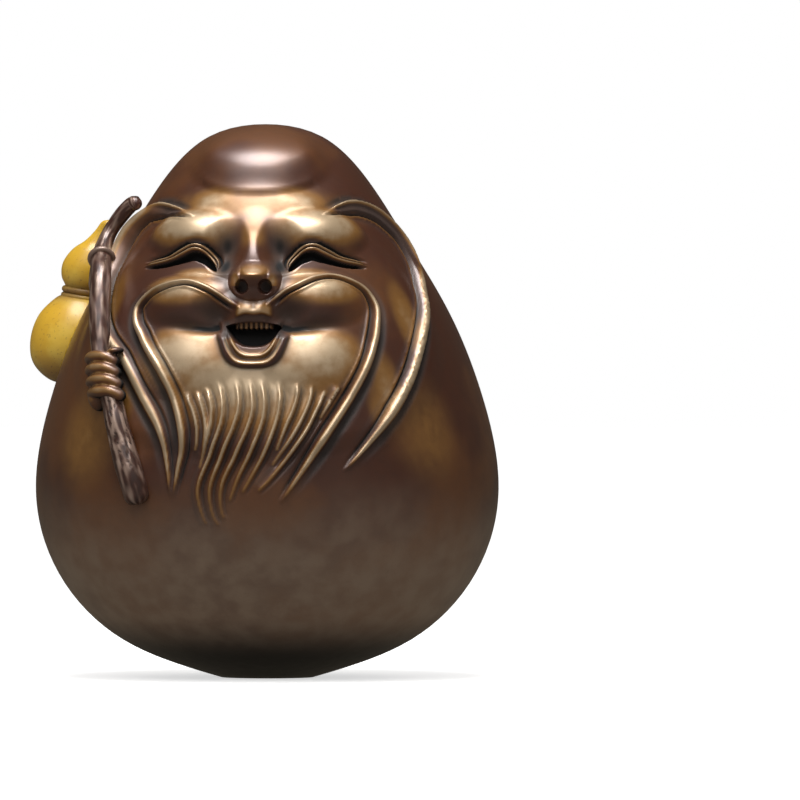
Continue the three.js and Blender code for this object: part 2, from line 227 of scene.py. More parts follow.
@dataclass(frozen=True)
class Egg:
    """The carved egg: it leans forward, is a little less deep than wide and has the face on it."""

    outline: Points = (
        (12.5, 0), (40, 8), (58, 26.5), (65, 50.5), (59, 76.5),
        (50.5, 99), (38, 118.5), (29, 134), (17, 148), (0, 151),
    )
    depth_share: float = 0.95
    head_lean: float = 5.0
    lean_starts_at: float = 55.0
    total_height: float = 150.0
    face_middle: float = 97.0
    face_half_turn: float = 69.0
    face_half_height: float = 38.0
    face_rise: float = 0.9
    face_rim: float = 0.14
    dome_rise: float = 2.4
    dome_lip: float = 0.35
    dome_edge: Span = (-1.0, 0.6)
    dome_climb: float = 7.0
    dome_sides: Span = (28.0, 62.0)
    dome_fades: Span = (139.2, 149.3)
    crease_height: float = 130.8
    crease_curl: float = 4.0
    crease_curl_turn: float = 35.0
    paired_pads: Sequence[Pad] = (
        Pad(28, 119.5, 15.5, 7.5, 3.4, down=6.5),
        Pad(22, 103.3, 15, 6.0, 3.4, down=9.5),
        Pad(20, 86.0, 17, 9.5, 2.1, down=11),
        Pad(10.5, 115.0, 6.5, 9, -2.7, down=6.5),
        Pad(11, 98.0, 7, 5, -2.0),
    )
    middle_pads: Sequence[Pad] = (
        Pad(0, 124.0, 30, 8, 0.4, down=9),
        Pad(0, 118, 9, 9, 1.1),
        Pad(0, 111, 6, 9, 1.2),
        Pad(0, 100, 9, 5.5, 2.0),
    )
    table_size: int = 4001

    @property
    def outline_end(self) -> float:
        """Return the outline's share at the crown."""
        return len(self.outline) - 1.0

    def outline_at(self, share: Array) -> tuple[Array, Array, Array, Array]:
        """Follow the half outline, a uniform cubic B-spline.

        Args:
            share: Where on the outline, from 0 at the foot to outline_end at the crown.

        Returns:
            Radius and height, and the outline's direction outwards and upwards.
        """
        known = np.array(self.outline, float)
        first = 2 * known[0] - known[1]
        last = known[-2] * [-1, 1]
        known = np.vstack([first, known, last])
        share = np.asarray(share, float)
        span = np.clip(np.floor(share).astype(int), 0, len(known) - 4)
        far = share - span
        left = 1 - far
        place = (left**3, 3 * far**3 - 6 * far**2 + 4, -3 * far**3 + 3 * far**2 + 3 * far + 1, far**3)
        slope = (-3 * left**2, 9 * far**2 - 12 * far, -9 * far**2 + 6 * far + 3, 3 * far**2)
        mixed = [
            sum(weight * known[span + i, axis] for i, weight in enumerate(weights)) / 6
            for weights in (place, slope)
            for axis in (0, 1)
        ]
        return mixed[0], mixed[1], mixed[2], mixed[3]

    def share_of(self, height: Array) -> Array:
        """Return where on the outline a height lies."""
        shares = np.linspace(0.0, self.outline_end, self.table_size)
        return np.interp(height, self.outline_at(shares)[1], shares)

    def share_along(self, way: Array) -> Array:
        """Turn parts of the outline's length into its shares.

        Args:
            way: Parts of its length, from 0 at the foot to 1 at the crown.

        Returns:
            The shares, as outline_at takes them.
        """
        shares = np.linspace(0.0, self.outline_end, self.table_size)
        radius, height, _, _ = self.outline_at(shares)
        length = np.concatenate([[0.0], np.cumsum(np.hypot(np.diff(radius), np.diff(height)))])
        return np.interp(way, length / length[-1], shares)

    def lean(self, height: Array) -> Array:
        """Return how far the egg leans forward at a height."""
        return self.head_lean * smoothstep(height, self.lean_starts_at, self.total_height)

    def carving(self, turn: Array, height: Array, radius: Array) -> Array:
        """Return how far the soft forms of the face stand above the plain egg.

        Args:
            turn: Places, in degrees from the front.
            height: Their heights.
            radius: The plain egg's radius there.

        Returns:
            The rise in millimetres.
        """
        oval = np.hypot(turn / self.face_half_turn, (height - self.face_middle) / self.face_half_height)
        rise = self.face_rise * fade(oval, 1 - self.face_rim, 1)
        for pad in self.paired_pads:
            rise = rise + pad.rise_at(turn, height, radius) + pad.rise_at(-turn, height, radius)
        for pad in self.middle_pads:
            rise = rise + pad.rise_at(turn, height, radius)
        above = height - self.crease_height - self.crease_curl * (turn / self.crease_curl_turn) ** 2
        step = lerp(self.dome_lip, 1, smoothstep(above, 0, self.dome_climb))
        step = step * smoothstep(above, *self.dome_edge)
        step = step * fade(height, *self.dome_fades) * fade(np.abs(turn), *self.dome_sides)
        return rise + self.dome_rise * step

    def skin_at_share(self, turn: Array, share: Array, lift: Any = 0.0) -> tuple[Array, Array]:
        """Find places on the carved skin.

        Args:
            turn: Degrees from the front, towards +X.
            share: Where on the outline.
            lift: Millimetres off the skin, along its normal.

        Returns:
            The places and the plain egg's normals there.
        """
        radius, height, outward, upward = self.outline_at(share)
        angle = np.radians(turn)
        sin, cos = np.sin(angle), np.cos(angle)
        lean_slope = self.lean(height + 0.5) - self.lean(height - 0.5)
        around = np.stack([cos, self.depth_share * sin, 0 * cos], -1)
        back = -self.depth_share * outward * cos - lean_slope * upward
        up = np.stack([outward * sin, back, upward + 0 * cos], -1)
        normal = np.cross(around, up)
        normal /= np.linalg.norm(normal, axis=-1, keepdims=True)
        deep = -self.depth_share * radius * cos - self.lean(height)
        place = np.stack([radius * sin, deep, height + 0 * cos], -1)
        rise = self.carving(turn, height, radius) + lift
        return place + normal * rise[..., None], normal

    def skin(self, turn: Array, height: Array, lift: Any = 0.0) -> tuple[Array, Array]:
        """Find places on the carved skin by their height; as skin_at_share otherwise."""
        turn = np.asarray(turn, float)
        return self.skin_at_share(turn, self.share_of(np.asarray(height, float)), np.asarray(lift, float))


@dataclass
class Reading:
    """Vertices beside a line on the skin: their share along it, and how far aside and off they lie."""

    index: Array
    share: Array
    aside: Array
    gap: Array


class SkinLine:
    """A smooth line laid on the carved skin."""

    rows_at_once = 4000

    def __init__(self, egg: Egg, points: Points, hand: int = 1, samples: int = 240) -> None:
        """Sample the line.

        Args:
            egg: The egg that carries it.
            points: Its places, as turn, height and, where it leaves the skin, lift.
            hand: 1 where aside counts to the line's right, seen from outside, else -1.
            samples: How many places to sample.
        """
        path = spline([(*point, 0.0)[:3] for point in points], samples)
        self.places, self.normals = egg.skin(path[:, 0], path[:, 1], path[:, 2])
        along = np.gradient(self.places, axis=0)
        self.along = along / np.linalg.norm(along, axis=1, keepdims=True)
        side = np.cross(self.along, self.normals)
        self.side = hand * side / np.linalg.norm(side, axis=1, keepdims=True)
        out = np.cross(side, self.along)
        self.out = out / np.linalg.norm(out, axis=1, keepdims=True)
        steps = np.linalg.norm(np.diff(self.places, axis=0), axis=1)
        walked = np.concatenate([[0.0], np.cumsum(steps)])
        self.length = walked[-1]
        self.shares = walked / self.length

    def at(self, share: Array) -> tuple[Array, Array, Array]:
        """Find places on the line.

        Args:
            share: Shares of its length.

        Returns:
            The places, with their side and outward directions.
        """
        index = np.interp(share, self.shares, np.arange(len(self.shares)))
        low = np.minimum(index.astype(int), len(self.shares) - 2)
        part = (index - low)[..., None]
        rows = (self.places, self.side, self.out)
        return tuple(lerp(values[low], values[low + 1], part) for values in rows)

    def round_about(self, around: Array, along: Array, across: Array, outward: Array) -> Array:
        """Place a tube round the line.

        Args:
            around: Shares of a turn, from the line's side towards the outside.
            along: Shares of its length.
            across: The tube's half width at each.
            outward: Its half depth, off the skin.

        Returns:
            The places.
        """
        angle = 2 * math.pi * around
        middle, side, out = self.at(along)
        aside, off = across * np.cos(angle), outward * np.sin(angle)
        return middle + aside[:, None] * side + off[:, None] * out

    def read(self, places: Array, reach: float) -> Reading:
        """Measure places near the line.

        Args:
            places: The places to measure, as rows of x, y and z.
            reach: How far from the line they still count.

        Returns:
            The places that count, with their share along the line and their distance aside.
        """
        low = self.places.min(axis=0) - reach
        high = self.places.max(axis=0) + reach
        index = np.flatnonzero(np.all((places > low) & (places < high), axis=1))
        nearest = np.empty(len(index), int)
        for start in range(0, len(index), self.rows_at_once):
            some = slice(start, start + self.rows_at_once)
            gaps = np.linalg.norm(places[index[some]][:, None] - self.places[None], axis=2)
            nearest[some] = gaps.argmin(axis=1)
        off = places[index] - self.places[nearest]
        aside = np.einsum("ij,ij->i", off, self.side[nearest])
        ahead = np.einsum("ij,ij->i", off, self.along[nearest])
        ends = (nearest == 0) | (nearest == len(self.places) - 1)
        beyond = np.where(ends, np.abs(ahead), 0.0)
        share = np.clip(self.shares[nearest] + np.where(ends, 0.0, ahead) / self.length, 0, 1)
        gap = np.hypot(aside, beyond)
        near = gap < reach
        return Reading(index[near], share[near], aside[near], gap[near])


class Relief:
    """The fine relief over the carved skin, gathered vertex by vertex.

    Forward counts straight to the front. Ridge, dent and swell count along the skin's normal, and
    a ridge fills most of a dent that runs across it.
    """

    front_turn = 60.0
    ridge_fills = 0.85

    def __init__(self, turn: Array, height: Array, radius: Array, places: Array) -> None:
        """Start from the bare skin.

        Args:
            turn: Each vertex's turn, in degrees.
            height: Its height on the plain egg.
            radius: The plain egg's radius there.
            places: Its place on the carved skin.
        """
        self.turn = turn
        self.height = height
        self.radius = radius
        self.places = places
        self.front = np.abs(turn) < self.front_turn
        count = len(turn)
        self.forward = np.zeros(count)
        self.ridge = np.zeros(count)
        self.dent = np.zeros(count)
        self.swell = np.zeros(count)
        self.masks = {mask: np.zeros(count) for mask in Mask}

    def raise_ridge(self, index: Any, amount: Array, worn: float = 0.0) -> None:
        """Lift vertices to a ridge, where it stands above what is there.

        Args:
            index: The vertices.
            amount: The ridge's height at each, in millimetres.
            worn: How far its crest carries rubbing wear and a painted highlight, from 0 to 1.
        """
        self.ridge[index] = np.maximum(self.ridge[index], amount)
        share = np.clip(amount / max(float(np.max(amount, initial=0.0)), TINY), 0, 1)
        self.clear(Mask.GRIME_AND_SHADE, index, smoothstep(share, 0.2, 0.7))
        # painted highlight, with rubbing wear, on the ridge's crest
        self.mark(Mask.WORN_AND_HIGHLIGHT, index, worn * smoothstep(share, 0.45, 1.0))

    def cut(self, index: Any, amount: Array) -> None:
        """Sink vertices into a groove, in millimetres."""
        self.dent[index] = np.maximum(self.dent[index], amount)

    def clear(self, mask: Mask, index: Any, share: Array) -> None:
        """Take a share of a mask away."""
        self.masks[mask][index] *= 1 - share

    def mark(self, mask: Mask, index: Any, amount: Array) -> None:
        """Raise a mask to an amount."""
        self.masks[mask][index] = np.maximum(self.masks[mask][index], amount)

    def tint(self, mask: Mask, pads: Sequence[Pad], hands: Sequence[int] = (1, -1)) -> None:
        """Raise a mask softly over pads.

        Args:
            mask: The mask to raise.
            pads: Where, with the amount as their rise.
            hands: 1 for the pads as they are, -1 for the same on the other side.
        """
        for pad in pads:
            for hand in hands:
                self.mark(mask, ALL, pad.rise_at(hand * self.turn, self.height, self.radius))

    def rise(self) -> Array:
        """Return the relief that stands along the skin's normal, in millimetres."""
        filled = self.ridge_fills * smoothstep(self.ridge, 0.3, 1.2)
        return self.swell + self.ridge - self.dent * (1 - filled)


@dataclass(frozen=True)
class Strand:
    """A strand of hair: a rounded ridge between two grooves, with a fine second edge inside it.

    Its half widths and rises are given at shares of its length. Up to the share blade_until it
    is a blade, whose thin edge stands outside.
    """

    points: Points
    hand: int
    widths: Points
    rises: Points
    fullness: float = 0.75
    blade_until: float = 0.0
    blade_starts: Span = (0.01, 0.07)
    blade_fades_over: float = 0.12
    blade_edge: float = 0.78
    blade_bluntness: float = 0.3
    blade_hollow: float = 0.45
    blade_foot: Span = (0.75, 1.05)
    rough: float = 0.0
    rough_pitch: float = 0.7
    rough_from: Span = (0.35, 0.5)
    frays: Span = (0.7, 0.85)
    tips: tuple[Span, Span] = ((0.0, 0.04), (0.93, 1.0))
    inner_groove: Stroke = Stroke(0.4, 0.45, 0.55)
    outer_groove: Stroke = Stroke(0.9, 0.9, 0.5)
    second_edge: Stroke = Stroke(1.15, 0.5, 0.4)
    second_edge_worn_and_highlight: float = 0.35
    inner_shades: Sequence[Stroke] = (Stroke(0.35, 0.6), Stroke(2.1, 0.9, 0.5))
    outer_shade: Stroke = Stroke(0.9, 1.6)
    blade_shine: Stroke = Stroke(-0.8, 0.32)
    reach: float = 6.5

    def carve(self, relief: Relief, egg: Egg) -> None:
        """Raise the strand on the skin.

        Args:
            relief: The relief to carve.
            egg: The egg that carries it.
        """
        seen = SkinLine(egg, self.points, self.hand).read(relief.places, self.reach)
        half = table(self.widths, seen.share)
        across = np.sign(seen.aside) * seen.gap / half
        blade_end = (self.blade_until - self.blade_fades_over, self.blade_until)
        bladed = window(seen.share, self.blade_starts, blade_end)
        shape = self.section(across, bladed)
        if self.rough:
            grain = hammered(relief.places[seen.index], self.rough_pitch)
            shape = shape * (1 + self.rough * grain * window(seen.share, self.rough_from, self.frays))
        ends = window(seen.share, *self.tips)
        self.sink_sides(relief, seen, half, ends)
        relief.raise_ridge(seen.index, table(self.rises, seen.share) * shape)
        # painted highlight, with rubbing wear, on the crest and on the blade's thin edge; painted shade in
        # the blade's hollow
        crest = lerp(smoothstep(shape, 0.55, 1.0), self.blade_shine.soft(across), bladed)
        inner = bladed * window(across, (-0.6, -0.2), (0.8, 1.2))
        relief.clear(Mask.WORN_AND_HIGHLIGHT, seen.index, inner)
        relief.mark(Mask.WORN_AND_HIGHLIGHT, seen.index, crest * ends)
        relief.mark(Mask.GRIME_AND_SHADE, seen.index, 0.8 * inner * ends)

    def section(self, across: Array, bladed: Array) -> Array:
        """Return the strand's cross section.

        Args:
            across: Places across it, in half widths.
            bladed: How far it is a blade there, rather than round.

        Returns:
            Its height, 1 at the crest.
        """
        hollow = lerp(1, self.blade_hollow, smoothstep(across, -self.blade_edge, -0.1))
        edge = dome((across + self.blade_edge) / self.blade_bluntness)
        blade = np.where(across < -self.blade_edge, edge, hollow * fade(across, *self.blade_foot))
        return lerp(dome(across, self.fullness), blade, bladed)

    def sink_sides(self, relief: Relief, seen: Reading, half: Array, ends: Array) -> None:
        """Sink a groove to either side of the strand, lay grime and painted shade beside it, and raise the
        second edge inside it.

        Args:
            relief: The relief to carve.
            seen: The vertices near the strand.
            half: Its half width beside each.
            ends: 1 along the strand, fading to 0 at its tips.
        """
        inside = seen.aside - half
        outside = -seen.aside - half
        full = ends * smoothstep(half, 0.5, 1.5)
        grooves = ends * self.inner_groove.soft(inside) + full * self.outer_groove.soft(outside)
        relief.cut(seen.index, grooves)
        # grime and painted shade in the grooves, and painted shade in the broad band outside the strand
        near, far = (shade.soft(inside) for shade in self.inner_shades)
        beyond = 0.9 * smoothstep(self.outer_shade.soft(outside), 0.1, 0.9)
        shade = np.maximum(ends * near + full * far, full * beyond)
        relief.mark(Mask.GRIME_AND_SHADE, seen.index, np.clip(shade, 0, 1))
        edge = ends * self.second_edge.round(inside) * fade(seen.share, *self.frays)
        relief.raise_ridge(seen.index, edge, self.second_edge_worn_and_highlight)


@dataclass(frozen=True)
class Eye:
    """A laughing eye: a dark slit, and a lid of two fine ridges with a fold over it."""

    points: Points
    up: int
    openings: Points = (
        (0, 0.1), (0.1, 0.7), (0.25, 1.2), (0.42, 1.05), (0.62, 0.7), (0.85, 0.4), (1, 0.1),
    )
    slit_depth: float = 2.4
    ridges: Sequence[Stroke] = (Stroke(0.6, 0.42, 0.7), Stroke(1.6, 0.4, 0.45))
    grooves: Sequence[Stroke] = (Stroke(1.1, 0.25, 0.3), Stroke(2.5, 0.62, 1.0))
    lid_ends: tuple[Span, Span] = ((0, 0.1), (0.85, 1))
    inner_spread: float = 0.15
    outer_spread: float = 0.7
    reach: float = 6.0

    def carve(self, relief: Relief, egg: Egg) -> None:
        """Carve the lids and the slit into the relief.

        Args:
            relief: The relief to carve.
            egg: The egg that carries it.
        """
        seen = SkinLine(egg, self.points, -self.up).read(relief.places, self.reach)
        share, index = seen.share, seen.index
        half = table(self.openings, share)
        spread = lerp(self.inner_spread, 1, smoothstep(share, 0, 0.16))
        spread = spread * lerp(1, self.outer_spread, smoothstep(share, 0.75, 1))
        lid = window(share, *self.lid_ends) * (seen.gap < self.reach - 0.5)
        over = (seen.aside - half) / spread
        within = half - np.abs(seen.aside)
        slit = smoothstep(within, -0.25, 0.3) * smoothstep(half, 0.15, 0.5)
        relief.ridge[index] *= 1 - slit
        relief.clear(Mask.WORN_AND_HIGHLIGHT, index, lid * window(over, (-0.2, 0.3), (2.6, 4)))
        # painted shade in the lid's fold lines
        for groove in self.grooves:
            sunk = groove.soft(over) * lid
            relief.swell[index] -= sunk
            relief.mark(Mask.GRIME_AND_SHADE, index, smoothstep(sunk / groove.amount, 0.15, 0.8))
        # painted highlight on the lid's two fine ridges
        for ridge in self.ridges:
            crest = ridge.round(over) * lid
            relief.swell[index] += crest
            relief.mark(Mask.WORN_AND_HIGHLIGHT, index, 0.8 * (crest / ridge.amount) ** 2)
        relief.swell[index] -= self.slit_depth * slit
        relief.clear(Mask.WORN_AND_HIGHLIGHT, index, slit)
        # painted shade: the slit is painted black
        shade_black = smoothstep(within, -0.35, -0.1) * smoothstep(half, 0.15, 0.4)
        relief.mark(Mask.GRIME_AND_SHADE, index, shade_black)


@dataclass(frozen=True)
class Nose:
    """A button nose that stands straight forward, seen a little from under, with two nostrils.

    Its tip stands forward most, and its underside runs back down to the lip.
    """

    middle: float = 0.9
    height: float = 107.3
    half_width: float = 7.1
    bridge_half: float = 4.0
    down: float = 5.2
    tip_height: float = 109.0
    ball_top: float = 113.2
    top_height: float = 119.0
    ball_share: float = 0.12
    tip_rise: float = 6.6
    foot_rise: float = 2.0
    side_fall: float = 0.3
    flank_power: float = 2.6
    ball_power: float = 0.6
    bridge_power: float = 1.5
    bridge_from: Span = (112.0, 114.5)
    tints_until: Span = (109.5, 113.0)
    shade_until: Span = (109.0, 112.0)
    wing: Spot = Spot(5.2, 107.3, 1.3, 2.2)
    wing_rise: float = 0.8
    crease: Spot = Spot(3.5, 109.3, 0.6, 1.6)
    crease_depth: float = 0.9
    nostril: Spot = Spot(3.1, 105.9, 1.7, 1.9)
    nostril_depth: float = 2.6
    shine: Spot = Spot(0.0, 110.2, 4.0, 1.5)

    def carve(self, relief: Relief) -> None:
        """Raise the nose and sink the nostrils.

        Args:
            relief: The relief to carve.
        """
        side = np.abs(relief.places[:, 0] - self.middle)
        level = relief.places[:, 2]
        to_bridge = smoothstep(level, self.height + 1, self.ball_top + 1)
        half = lerp(self.half_width, self.bridge_half, to_bridge)
        far = np.hypot(side / half, np.maximum(self.height - level, 0.0) / self.down)
        power = lerp(self.ball_power, self.bridge_power, smoothstep(level, *self.bridge_from))
        body = np.clip(1 - far**self.flank_power, 0, 1) ** power * relief.front
        wing = self.wing.soft(side, level)
        crease = self.crease.soft(side, level)
        hole = self.nostril.off(side, level)
        stands = self.slant(side, level) + self.wing_rise * wing - self.crease_depth * crease
        relief.forward += stands * body - self.nostril_depth * fade(hole, 0.75, 1.15) * relief.front
        own = smoothstep(body, 0.0, 0.3) * fade(level, *self.tints_until)
        relief.ridge *= 1 - own
        relief.clear(Mask.WORN_AND_HIGHLIGHT, ALL, own)
        # painted highlight on the tip and on the upper edge of the wings
        tip = 0.8 * body * self.shine.soft(side, level)
        lit_wing = 0.9 * body * wing * (level > self.height - 1.2)
        relief.mark(Mask.WORN_AND_HIGHLIGHT, ALL, np.maximum(tip, lit_wing))
        # painted shade under the nose, in the nostrils and along its flanks
        under = 0.35 * body * smoothstep(self.height - level, -1.0, 2.5)
        hollow = 0.9 * fade(hole, 0.6, 1.15) * relief.front
        relief.mark(Mask.GRIME_AND_SHADE, ALL, np.maximum(under, hollow))
        beside = bell(far - 1.1, 0.12) * relief.front * fade(level, *self.shade_until)
        relief.mark(Mask.GRIME_AND_SHADE, ALL, 0.6 * beside)

    def slant(self, side: Array, level: Array) -> Array:
        """Return how far the nose stands forward, before its flanks are rounded.

        Args:
            side: Distances from its middle.
            level: Heights.

        Returns:
            The rise in millimetres.
        """
        foot = self.height - self.down
        climb = np.clip((level - foot) / (self.tip_height - foot), 0, 1)
        rise = lerp(self.foot_rise, self.tip_rise, climb)
        rise = rise * lerp(1, self.ball_share, smoothstep(level, self.tip_height, self.ball_top))
        rise = rise * fade(level, self.ball_top - 1, self.top_height)
        return rise * (1 - self.side_fall * np.clip(side / self.half_width, 0, 1) ** 2)


@dataclass(frozen=True)
class Smile:
    """A U-shaped line about the mouth: low in the middle, it climbs to the corners."""

    bottom: float
    climb: float
    half_width: float
    power: float

    def outside(self, side: Array, level: Array) -> Array:
        """Return how far places lie outside the line.

        Args:
            side: Their distance from the mouth's middle.
            level: Their height.

        Returns:
            The distance in millimetres, less than 0 within the U.
        """
        share = side / self.half_width
        slope = self.climb * self.power / self.half_width * share ** (self.power - 1)
        return (self.bottom + self.climb * share**self.power - level) / np.hypot(1, slope)


@dataclass(frozen=True)
class Mouth:
    """An open laughing mouth: an upper lip, a row of small teeth, and two U-shaped lower lips."""

    middle: float = 1.0
    fades: Span = (10.0, 12.0)
    opening: Smile = Smile(89.7, 4.5, 6.9, 2.8)
    inner_lip: Smile = Smile(87.5, 5.6, 6.5, 3.0)
    outer_lip: Smile = Smile(85.5, 7.6, 7.8, 4.2)
    lips_end: Span = (91.8, 94.2)
    inner_half: float = 0.6
    inner_rise: float = 0.6
    outer_halves: Span = (1.2, 1.5)
    outer_rise: float = 1.7
    lip_groove: Stroke = Stroke(1.15, 0.42)
    lip_groove_depth: float = 0.5
    lip_shine: Stroke = Stroke(-0.2, 0.7, 0.8)
    chin_shade: Stroke = Stroke(1.3, 0.5, 0.85)
    top: float = 96.5
    top_drop: float = 0.9
    depth: float = 4.5
    tooth_pitch: float = 1.35
    teeth_foot: float = 94.3
    teeth_half: float = 5.4
    teeth_back: float = 2.0
    tooth_squareness: float = 0.6
    upper_edge: float = 98.9
    upper_bows: Stroke = Stroke(2.3, 1.4, 0.35)
    upper_rise: float = 1.1
    upper_sides: Span = (3.8, 5.4)
    channel: Stroke = Stroke(0.0, 0.8)
    channel_depth: float = 0.25
    channel_heights: tuple[Span, Span] = ((99.3, 100.3), (102, 103))
    corner: Spot = Spot(9.5, 98.0, 3.2, 3.0)
    corner_depth: float = 1.0
    corner_shade: Stroke = Stroke(7.0, 2.0)
    corner_heights: tuple[Span, Span] = ((90.8, 93.0), (96, 98))

    def carve(self, relief: Relief) -> None:
        """Cut the mouth, and set the teeth and the lips in it.

        Args:
            relief: The relief to carve.
        """
        across = relief.places[:, 0] - self.middle
        level = relief.places[:, 2]
        near = relief.front * fade(np.abs(across), *self.fades)
        self.raise_lower_lips(relief, across, level, near)
        self.raise_upper_lip(relief, across, level, near)
        self.open_mouth(relief, across, level, near)

    def raise_lower_lips(self, relief: Relief, across: Array, level: Array, near: Array) -> None:
        """Raise the two lower lips and sink the groove between them.

        Args:
            relief: The relief to carve.
            across: Where the vertices lie from the mouth's middle towards +X.
            level: Their height.
            near: 1 near the mouth, fading to 0.
        """
        side = np.abs(across)
        outer = self.outer_lip.outside(side, level)
        inner = self.inner_lip.outside(side, level)
        arms = fade(level, *self.lips_end) * near
        full = dome(outer / np.where(outer < 0, *self.outer_halves), 0.9)
        fine = dome(inner / self.inner_half)
        groove = self.lip_groove.soft(inner)
        relief.clear(Mask.WORN_AND_HIGHLIGHT, ALL, smoothstep(full, 0.05, 0.4) * arms)
        lips = self.outer_rise * full + self.inner_rise * fine
        relief.forward += arms * (lips - self.lip_groove_depth * groove)
        # painted highlight on the lips' crests
        relief.mark(Mask.WORN_AND_HIGHLIGHT, ALL, arms * np.maximum(self.lip_shine.round(outer), 0.8 * fine))
        # painted shade in the groove between the lips and under the outer lip
        relief.mark(Mask.GRIME_AND_SHADE, ALL, arms * np.maximum(0.9 * groove, self.chin_shade.soft(outer)))

    def raise_upper_lip(self, relief: Relief, across: Array, level: Array, near: Array) -> None:
        """Raise the upper lip with its channel, and shade under it and at the mouth's corners.

        Args:
            relief: The relief to carve.
            across: Where the vertices lie from the mouth's middle towards +X.
            level: Their height.
            near: 1 near the mouth, fading to 0.
        """
        side = np.abs(across)
        edge = self.upper_edge + self.upper_bows.soft(side) - 0.5 * (side / 4.5) ** 2
        lip = window(level - edge, (-0.9, 0.1), (0.4, 4.5)) * fade(side, *self.upper_sides) * near
        channel = self.channel.soft(across) * window(level, *self.channel_heights) * near
        relief.forward += self.upper_rise * lip - self.channel_depth * channel
        # rubbing wear with painted highlight on the upper lip
        relief.mark(Mask.WORN_AND_HIGHLIGHT, ALL, 0.7 * lip)
        relief.mark(Mask.GRIME_AND_SHADE, ALL, 0.5 * channel)
        # painted shade under the upper lip and in the hollows at the mouth's corners
        under = smoothstep(edge - level, 0.3, 0.9) * fade(side, 6.5, 9.0) * near * (level > 96)
        corner = self.corner.soft(side, level) * relief.front
        relief.forward -= self.corner_depth * corner
        relief.mark(Mask.GRIME_AND_SHADE, ALL, np.maximum(0.6 * under, 0.8 * corner))
        relief.clear(Mask.WORN_AND_HIGHLIGHT, ALL, np.maximum(corner, under))

    def open_mouth(self, relief: Relief, across: Array, level: Array, near: Array) -> None:
        """Sink the opening and leave the teeth in it.

        Args:
            relief: The relief to carve.
            across: Where the vertices lie from the mouth's middle towards +X.
            level: Their height.
            near: 1 near the mouth, fading to 0.
        """
        side = np.abs(across)
        # painted shade spreading sideways from the mouth's corners
        corner = self.corner_shade.soft(side) * window(level, *self.corner_heights) * near
        relief.mark(Mask.GRIME_AND_SHADE, ALL, 0.9 * corner)
        relief.clear(Mask.WORN_AND_HIGHLIGHT, ALL, corner)
        top = self.top - self.top_drop * (side / 6.5) ** 2
        inside = smoothstep(-self.opening.outside(side, level), -0.15, 0.4)
        inside = inside * smoothstep(top - level, -0.1, 0.35) * fade(side, 8.0, 9.5) * near
        tooth = np.abs(np.sin(math.pi * across / self.tooth_pitch)) ** self.tooth_squareness
        row = smoothstep(level - self.teeth_foot - 0.5 * (1 - tooth), -0.1, 0.35)
        row = row * fade(side, self.teeth_half - 1.2, self.teeth_half + 0.4)
        sunk = lerp(-self.depth, tooth - self.teeth_back, row)
        relief.forward = lerp(relief.forward, sunk, inside)
        # painted shade inside the mouth, paler on the teeth
        for mask, shown in ((Mask.GRIME_AND_SHADE, 1 - 0.6 * row * tooth**2), (Mask.WORN_AND_HIGHLIGHT, 0.35 * row * tooth)):
            relief.masks[mask] = lerp(relief.masks[mask], shown, inside)


@dataclass(frozen=True)
class Lock:
    """One lock of the beard: a bright crest that climbs slowly from its left and drops at its right."""

    points: Points
    crest: float = 0.62
    flank: float = 2.8
    flank_share: float = 0.55
    rise: float = 1.6
    root_until: float = 0.2
    tip_from: float = 0.5
    tip_share: float = 0.35
    groove: Stroke = Stroke(1.24, 0.5)
    groove_depth: float = 0.7
    dull_flank: Stroke = Stroke(-1.9, 0.8, 0.5)
    reach: float = 5.0

    def carve(self, relief: Relief, egg: Egg) -> None:
        """Raise the lock on the skin, with a dark groove at its right and a dull flank at its left.

        Args:
            relief: The relief to carve.
            egg: The egg that carries it.
        """
        seen = SkinLine(egg, self.points, -1).read(relief.places, self.reach)
        tip = lerp(self.tip_share, 1, fade(seen.share, self.tip_from, 1.0))
        size = window(seen.share, (0.0, self.root_until), (0.95, 1.0)) * tip
        across = seen.aside / lerp(0.7, 1, tip)
        crest = bell(across, self.crest)
        slope = self.flank_share * np.clip(1 + across / self.flank, 0, 1)
        groove = size * self.groove.soft(across)
        shown = smoothstep(size, 0.05, 0.3) * lerp(0.35, 1, tip)
        shape = np.where(across < 0, np.maximum(crest, slope), crest)
        relief.raise_ridge(seen.index, self.rise * size * shape)
        relief.cut(seen.index, self.groove_depth * groove)
        # painted highlight, with rubbing wear, on the lock's crest
        relief.mark(Mask.WORN_AND_HIGHLIGHT, seen.index, shown * smoothstep(crest, 0.25, 0.9))
        # grime and painted shade in the groove and on the flank to the left
        dull = smoothstep(size, 0.1, 0.5) * self.dull_flank.soft(across)
        relief.mark(Mask.GRIME_AND_SHADE, seen.index, np.maximum(dull, 0.78 * smoothstep(groove, 0.05, 0.6)))


